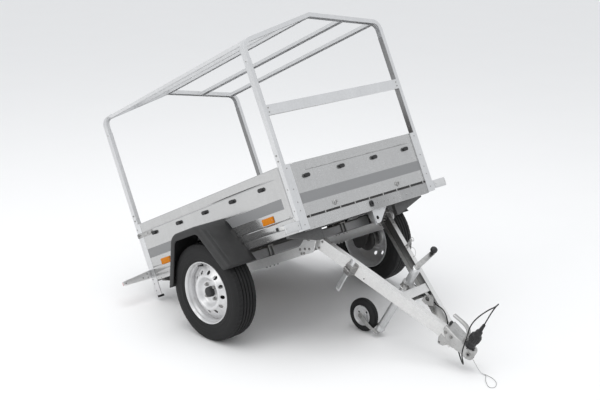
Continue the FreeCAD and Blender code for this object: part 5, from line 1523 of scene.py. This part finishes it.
class TRAILER_OT_coupling(bpy.types.Operator):
    """Add the coupling head, its handle, its socket, its bolts and its lug"""
    bl_idname = "trailer.coupling"
    bl_label = "Coupling"

    def execute(self, context):
        build("coupling_shell", head_shape(), DRAWBAR, "zinc_fittings", "drawbar", "coupling_head",
              facing=UP, solid=3.5, smooth=40)
        fittings = Shape().turned((BALL, 0, 0), UP, [
            (-23.5, 25.1), (-23.5, 28), (-22, 29), (14, 29), (24, 24), (28, 10), (28, .1), (24, .1),
            (22, 10), (12, 25.1)], 48, closed=True)
        for along, height in ((872, 10), (914, 16)):
            for side in (-1, 1):
                fittings.bolt((along, side * 46.2, height), (0, side, 0), 9)
        lug = Shape().prism(rounded([
            (852, -20, 3), (960, -24, 3), (952, -34, 5), (922, -40, 6), (899, -74, 8), (866, -90, 9),
            (850, -52, 6)]), -43.6, -37.6, "y", 1.2)
        lug.turned(EYELET, RIGHT, [(-1, 5.6), (-1, 9), (1.2, 9), (2, 8), (2, 5.6)], 28, closed=True)
        build("coupling_lug", lug, DRAWBAR, "zinc_fittings", "drawbar")
        fittings.prism(rounded([(868, -18, 3), (944, -24, 3), (930, -40, 6), (880, -40, 6)]), 20, 26, "y",
                       1.2)
        fittings.lathe((896, -32, -54), LEFT, [(0, 7), (64, 7)], 18)
        fittings.turned((1044, -31.5, 8), BUTTON_AXIS, [
            (-2, 7), (-2, 14), (4, 14), (5.5, 12.6), (5.5, 8), (4, 7)], 32, closed=True)
        catch = circle(1, 40)[3:34] * (10, 12) + (1060, -14)
        fittings.swept(flat_ring(catch, 2.0, "y"), circle(3, 10), up=LEFT)
        build("coupling_fittings", fittings, DRAWBAR, "dark_zinc", "drawbar")
        window = Shape().lathe((1044, -31.4, 8), BUTTON_AXIS, [(0, 7), (3.6, 7), (4.2, 5)], 24)
        # A black disc inside the lug's eyelet: painted shade standing in for the hole.
        window.lathe(EYELET, RIGHT, [(0, 5.8), (0.9, 5.8)], 24)
        window.prism(rounded([(-9, 40, 4), (9, 40, 4), (9, 60, 6), (-9, 60, 6)]), 845, 858, "x", 2)
        build("wear_button", window, DRAWBAR, "black_plastic", "drawbar")
        handle = Shape()
        line = smooth_line([
            (973, 40), (973, 62), (969, 84), (956, 101), (934, 109.5), (900, 109), (868, 105), (840, 102)],
                           44)
        path = flat_ring(line, 0.0, "y")
        half = np.interp(np.linspace(0, 1, 44), [0, 0.4, 0.7, 1], [10.0, 9.0, 8.5, 7.0])
        ring = np.stack([rounded([(-h, -10, 3), (h, -10, 3), (h, 10, 3), (-h, 10, 3)], 3) for h in half])
        handle.swept(path, ring, up=LEFT)
        handle.lathe((973, -13, 46), LEFT, [(0, 7), (26, 7)], 20)
        build("coupling_lever", handle, DRAWBAR, "zinc_fittings", "drawbar", "coupling_handle")
        return {"FINISHED"}


def there_and_back(half):
    """A closed profile from the half of it on one side of the wheel's middle plane."""
    return [(-s, r) for s, r in half] + half[::-1]


class TRAILER_OT_jockey(bpy.types.Operator):
    """Add the jockey wheel's clamp, tube, crank, fork fittings, tyre and rim"""
    bl_idname = "trailer.jockey"
    bl_label = "Jockey wheel"

    def execute(self, context):
        clamp = Shape().turned((LEG, 0, 0), UP, [
            (-20, 24.4), (-20, 33), (-15, 33.6), (-13, 31), (17, 31), (19, 33.6), (25, 33), (25, 24.4)], 48,
                               closed=True)
        clamp.prism(rounded([(526, -20, 3), (551, -26, 3), (551, 26, 3), (526, 20, 3)]), -18, 23, "z", 2.5)
        for low, high in ((-12, 1), (5, 17)):
            clamp.prism(rounded([(496, 27, 2), (514, 27, 2), (514, 46, 6), (496, 46, 6)]), low, high, "z",
                        1.5)
        clamp.lathe((LEG, 38, -19), UP, [(0, 9), (6, 9), (6, 5), (38, 5), (38, 9), (44, 9)], 24)
        for across in (-18, 18):
            clamp.bolt((552, across, 14), BACK, 6)
        build("jockey_collar", clamp, DRAWBAR, "zinc_fittings", "drawbar", "jockey_clamp")
        lever = Shape().lathe((LEG - 34, 50, -3), AHEAD, [
            (0, 5), (2, 7), (8, 7.6), (14, 6), (17, 4.6), (51, 4.6), (54, 6), (60, 7.6), (66, 7), (68, 5)],
                              24)
        lever.lathe((LEG, 32, -3), LEFT, [(0, 7), (16, 7), (20, 9), (25, 9), (26, 7.5)], 24)
        build("collar_lever", lever, DRAWBAR, "black_plastic", "drawbar", smooth=50)

        tube = Shape().lathe((LEG, 0, 0), UP, [
            (-262, 20.4), (-383, 20.4), (-384, 21), (-384, 23), (-383, 24), (-352, 24), (-350.5, 23),
            (-345, 23), (-343.5, 24), (100, 24), (101.5, 22.6), (106, 22.6), (107.5, 24), (112, 24),
            (113.5, 22.6), (118, 22.6), (119.5, 24), (134, 24), (138, 22.6), (140, 19)], 48)
        build("jockey_outer_tube", tube, DRAWBAR, "frame", "jockey_leg", "jockey_tube", smooth=40)
        crank = Shape().lathe((LEG, 0, 140), UP, [(0, 15), (8, 15), (9.5, 13)], 32)
        crank.lathe((LEG, 0, 154), UP, [(0, 8.5), (5, 8.5), (6.5, 7)], 6)
        crank.prism(rounded([
            (LEG - 17, -10, 9), (LEG + 17, -11, 9), (LEG - 38, 195, 10), (LEG - 66, 190, 10)]), 147, 156,
                    "z", 1.5)
        crank.lathe((LEG - 52, 182, 150), UP, [(0, 6), (8, 6)], 20)
        build("jockey_crank_arm", crank, DRAWBAR, "zinc_fittings", "jockey_leg", "jockey_crank")
        knob = Shape().turned((LEG - 52, 182, 157), UP, [
            (0, .1), (0, 10), (3, 11), (4, 16), (7, 19.4), (12, 20.6), (20, 20.6), (26, 18.6), (30, 14.5),
            (33, 8), (33.5, .1)], 32)
        build("crank_knob", knob, DRAWBAR, "black_plastic", "jockey_leg", smooth=50)

        half = [
            (20.5, 62.3), (24.0, 67), (24.5, 73), (24.3, 80), (23.2, 81.5), (22.6, 88), (20, 94),
            (15, 98.3), (11.4, 99.5), (9.9, 96.8), (8.1, 96.8), (6.6, 99.9)]
        tyre = Shape().turned(ORIGIN, LEFT, there_and_back(half), 96, closed=True)
        build("jockey_solid_tyre", tyre, JOCKEY, "small_tyre", "jockey_wheel", "jockey_tyre", smooth=30)
        rim = Shape()
        half = [
            (24.5, 6.4), (24.5, 15), (22, 18), (9, 21), (6.4, 24), (6, 44), (8, 48.5), (20, 54), (23.5, 57),
            (24, 60), (22.5, 61.6)]
        rim.turned(ORIGIN, LEFT, there_and_back(half), 72, closed=True)
        for degrees in range(0, 360, 45):
            turn = math.radians(degrees)
            for side in (-1, 1):
                rim.prism(rounded([(22, -2, 1), (45, -2, 1), (45, 2, 1), (22, 2, 1)]) @ np.array(
                    [[math.cos(turn), math.sin(turn)], [-math.sin(turn), math.cos(turn)]]),
                    *sorted((side * 5.5, side * 9.5)), "y", 0.8)
        build("jockey_wheel_rim", rim, JOCKEY, "silver_paint", "jockey_wheel", "jockey_rim")
        dots = Shape()
        for side in (-1, 1):
            for degrees in (70, 190, 310):
                turn = math.radians(degrees)
                dots.bolt((34 * math.cos(turn), side * 6.2, 34 * math.sin(turn)), (0, side, 0), 6)
        build("jockey_rim_bolts", dots, JOCKEY, "black_plastic", "jockey_wheel")
        fork = Shape()
        for side in (-1, 1):
            fork.bolt((0, side * 34.6, 0), (0, side, 0), 9)
            fork.slab((-14, -12), (14, 12), 8, *sorted((side * 30.6, side * 36)), "y", 1)
        build("fork_nuts", fork, JOCKEY, "dark_zinc", "jockey_swivel")
        return {"FINISHED"}


class TRAILER_OT_drawbar(bpy.types.Operator):
    """Add the drawbar's bolts, its prop, its cable gusset, its lock pin and its hinge springs"""
    bl_idname = "trailer.drawbar"
    bl_label = "Drawbar fittings"

    def execute(self, context):
        face = arm_face(PROP)
        clamp = Shape()
        for low, high, grow in ((-50, 18, 0), (-34, -29, 3), (-18, -13, 3), (-2, 3, 3)):
            clamp.prism(rounded([
                (PROP - 24 - grow, face - 38 - grow, 5), (PROP + 24 + grow, face - 38 - grow, 5),
                (PROP + 26 + grow, face - 16, 4), (PROP + 29, face + 9.2), (PROP - 29, face - 9.8),
                (PROP - 26 - grow, face - 18, 4)]), low, high, "z", 1.6)
        clamp.lathe((PROP, face - 38, -8), RIGHT, [(0, 9), (5, 9), (5, 5), (15, 5)], 20)
        clamp.lathe((PROP - 20, face - 52, -8), AHEAD, [(0, 4.6), (2, 5), (38, 5), (40, 4.6)], 16)
        for height in (-42, 10):
            for side in (-18, 18):
                clamp.bolt((PROP + side, face - 38, height), RIGHT, 4.6)
        build("prop_casting", clamp, DRAWBAR, "cast_zinc", "drawbar", "prop_clamp")
        leg = Shape().slab((PROP - 15, -178), (PROP + 15, 60), 5, face - 33, face - 25, "y", 1.2)
        leg.slab((PROP - 16, face - 35), (PROP + 16, face - 23), 5, -182, -176, "z", 1.2)
        leg.lathe((PROP, face - 38, 50), LEFT, [(0, 4), (20, 4)], 14)
        build("prop_bar", leg, DRAWBAR, "frame", "drawbar", "prop_leg")
        bolts = Shape()
        lean = math.atan(ARM_TAPER)
        out = (-math.sin(lean), -math.cos(lean), 0)
        for ahead, height, axis, size in ((0, 0, RIGHT, 13), (60, 14, out, 6.5), (60, -34, out, 6.5)):
            bolts.bolt((ahead, arm_face(ahead) - 0.1, height), axis, size)
        for ahead in (60, 100):
            bolts.bolt((ahead, arm_face(ahead) + 17, 30.1), UP, 5.5)
        bolts.bolt((632, -60.2, -24), RIGHT, 5.5)
        build("arm_bolts", bolts.doubled(), DRAWBAR, "dark_zinc", "drawbar")
        # A black disc in the arm's outer face: painted shade standing in for the inside of a hole.
        hole = Shape().lathe((352, arm_face(352) - 0.7, -30), (-out[0], -out[1], 0), [(0, 4.5), (3, 4.5)],
                             20)
        build("arm_hole", hole, DRAWBAR, "black_plastic", "drawbar")
        plate = plate_with_hole(rounded([
            (606, -44), (640, -44, 6), (690, -12, 8), (666, 24, 8), (606, 24)]), (632, -6), 14, 56, 60, "y")
        plate.slab((606, 40), (626, 60), 2, 20, 24, "z", 0.8)
        build("cable_gusset", plate, DRAWBAR, "zinc_fittings", "drawbar", "cable_plate")

        pin = Shape()
        ahead, across = 286.0, 204.0
        pin.lathe((ahead, across, 30), UP, [
            (0.1, 12), (3, 12), (4, 10), (12, 10), (13, 7), (13, 4), (52, 4), (52, 9), (54, 9.4), (58, 9.4),
            (60, 8)], 28)
        pin = pin.joined(coil((ahead, across, 43), (ahead, across, 80), 7.4, 1.3, 6))
        turn = np.linspace(-0.5, 1.5 * math.pi, 40)
        loop = points_of(ahead + 5 + 12 * np.cos(turn), across, 96 + 11 * np.sin(turn))
        tail = smooth_line([(ahead + 15, across, 90.7), (ahead + 2, across, 76), (ahead + 13, across, 62),
                            (ahead + 17, across, 40)], 20)
        pin.swept(np.vstack([loop[::-1], tail[1:]]), circle(1.5, 8), up=LEFT)
        lanyard = smooth_line([
            (ahead + 17, across, 40), (ahead + 40, across - 6, 62), (ahead + 66, across - 14, 66),
            (ahead + 84, across - 22, 50), (ahead + 80, across - 26, 31)], 36)
        pin.swept(lanyard, circle(1.2, 8), up=LEFT)
        build("lock_pin_and_clip", pin, DRAWBAR, "zinc_fittings", "drawbar", "lock_pin", smooth=50)
        spring = coil((8, 288, 38), (30, 288, -60), 14.5, 2.8, 6)
        build("hinge_springs", spring.doubled(), DRAWBAR, "zinc_fittings", "drawbar", smooth=60)
        return {"FINISHED"}


# ---- The add-on ------------------------------------------------------------------------------

GROUPS = {
    "trailer_stage": TrailerStageSettings, "trailer_cords": TrailerCordSettings,
    "trailer_wheels": TrailerWheelSettings, "trailer_bed": TrailerBedSettings,
}
OPERATORS = (
    TRAILER_OT_stage, TRAILER_OT_cords, TRAILER_OT_finishes, TRAILER_OT_wheels, TRAILER_OT_walls,
    TRAILER_OT_guards, TRAILER_OT_gate, TRAILER_OT_sills, TRAILER_OT_lights, TRAILER_OT_chassis,
    TRAILER_OT_coupling, TRAILER_OT_jockey, TRAILER_OT_drawbar)


class TRAILER_PT_panel(bpy.types.Panel):
    """Lists the pieces and their sizes"""
    bl_idname = "TRAILER_PT_panel"
    bl_label = "Utility trailer"
    bl_space_type = "VIEW_3D"
    bl_region_type = "UI"
    bl_category = "Trailer"

    def draw(self, context):
        for operator in OPERATORS:
            self.layout.operator(operator.bl_idname)
        for name, group in GROUPS.items():
            box = self.layout.box()
            for key in group.__annotations__:
                box.prop(getattr(context.scene, name), key)


def register():
    for made in (*GROUPS.values(), *OPERATORS, TRAILER_PT_panel):
        bpy.utils.register_class(made)
    for name, group in GROUPS.items():
        setattr(bpy.types.Scene, name, bpy.props.PointerProperty(type=group))


def unregister():
    for name in GROUPS:
        delattr(bpy.types.Scene, name)
    for made in reversed((*GROUPS.values(), *OPERATORS, TRAILER_PT_panel)):
        bpy.utils.unregister_class(made)


def main():
    register()
    for operator in OPERATORS:
        group, name = operator.bl_idname.split(".")
        getattr(getattr(bpy.ops, group), name)()


if __name__ == "__main__":
    main()
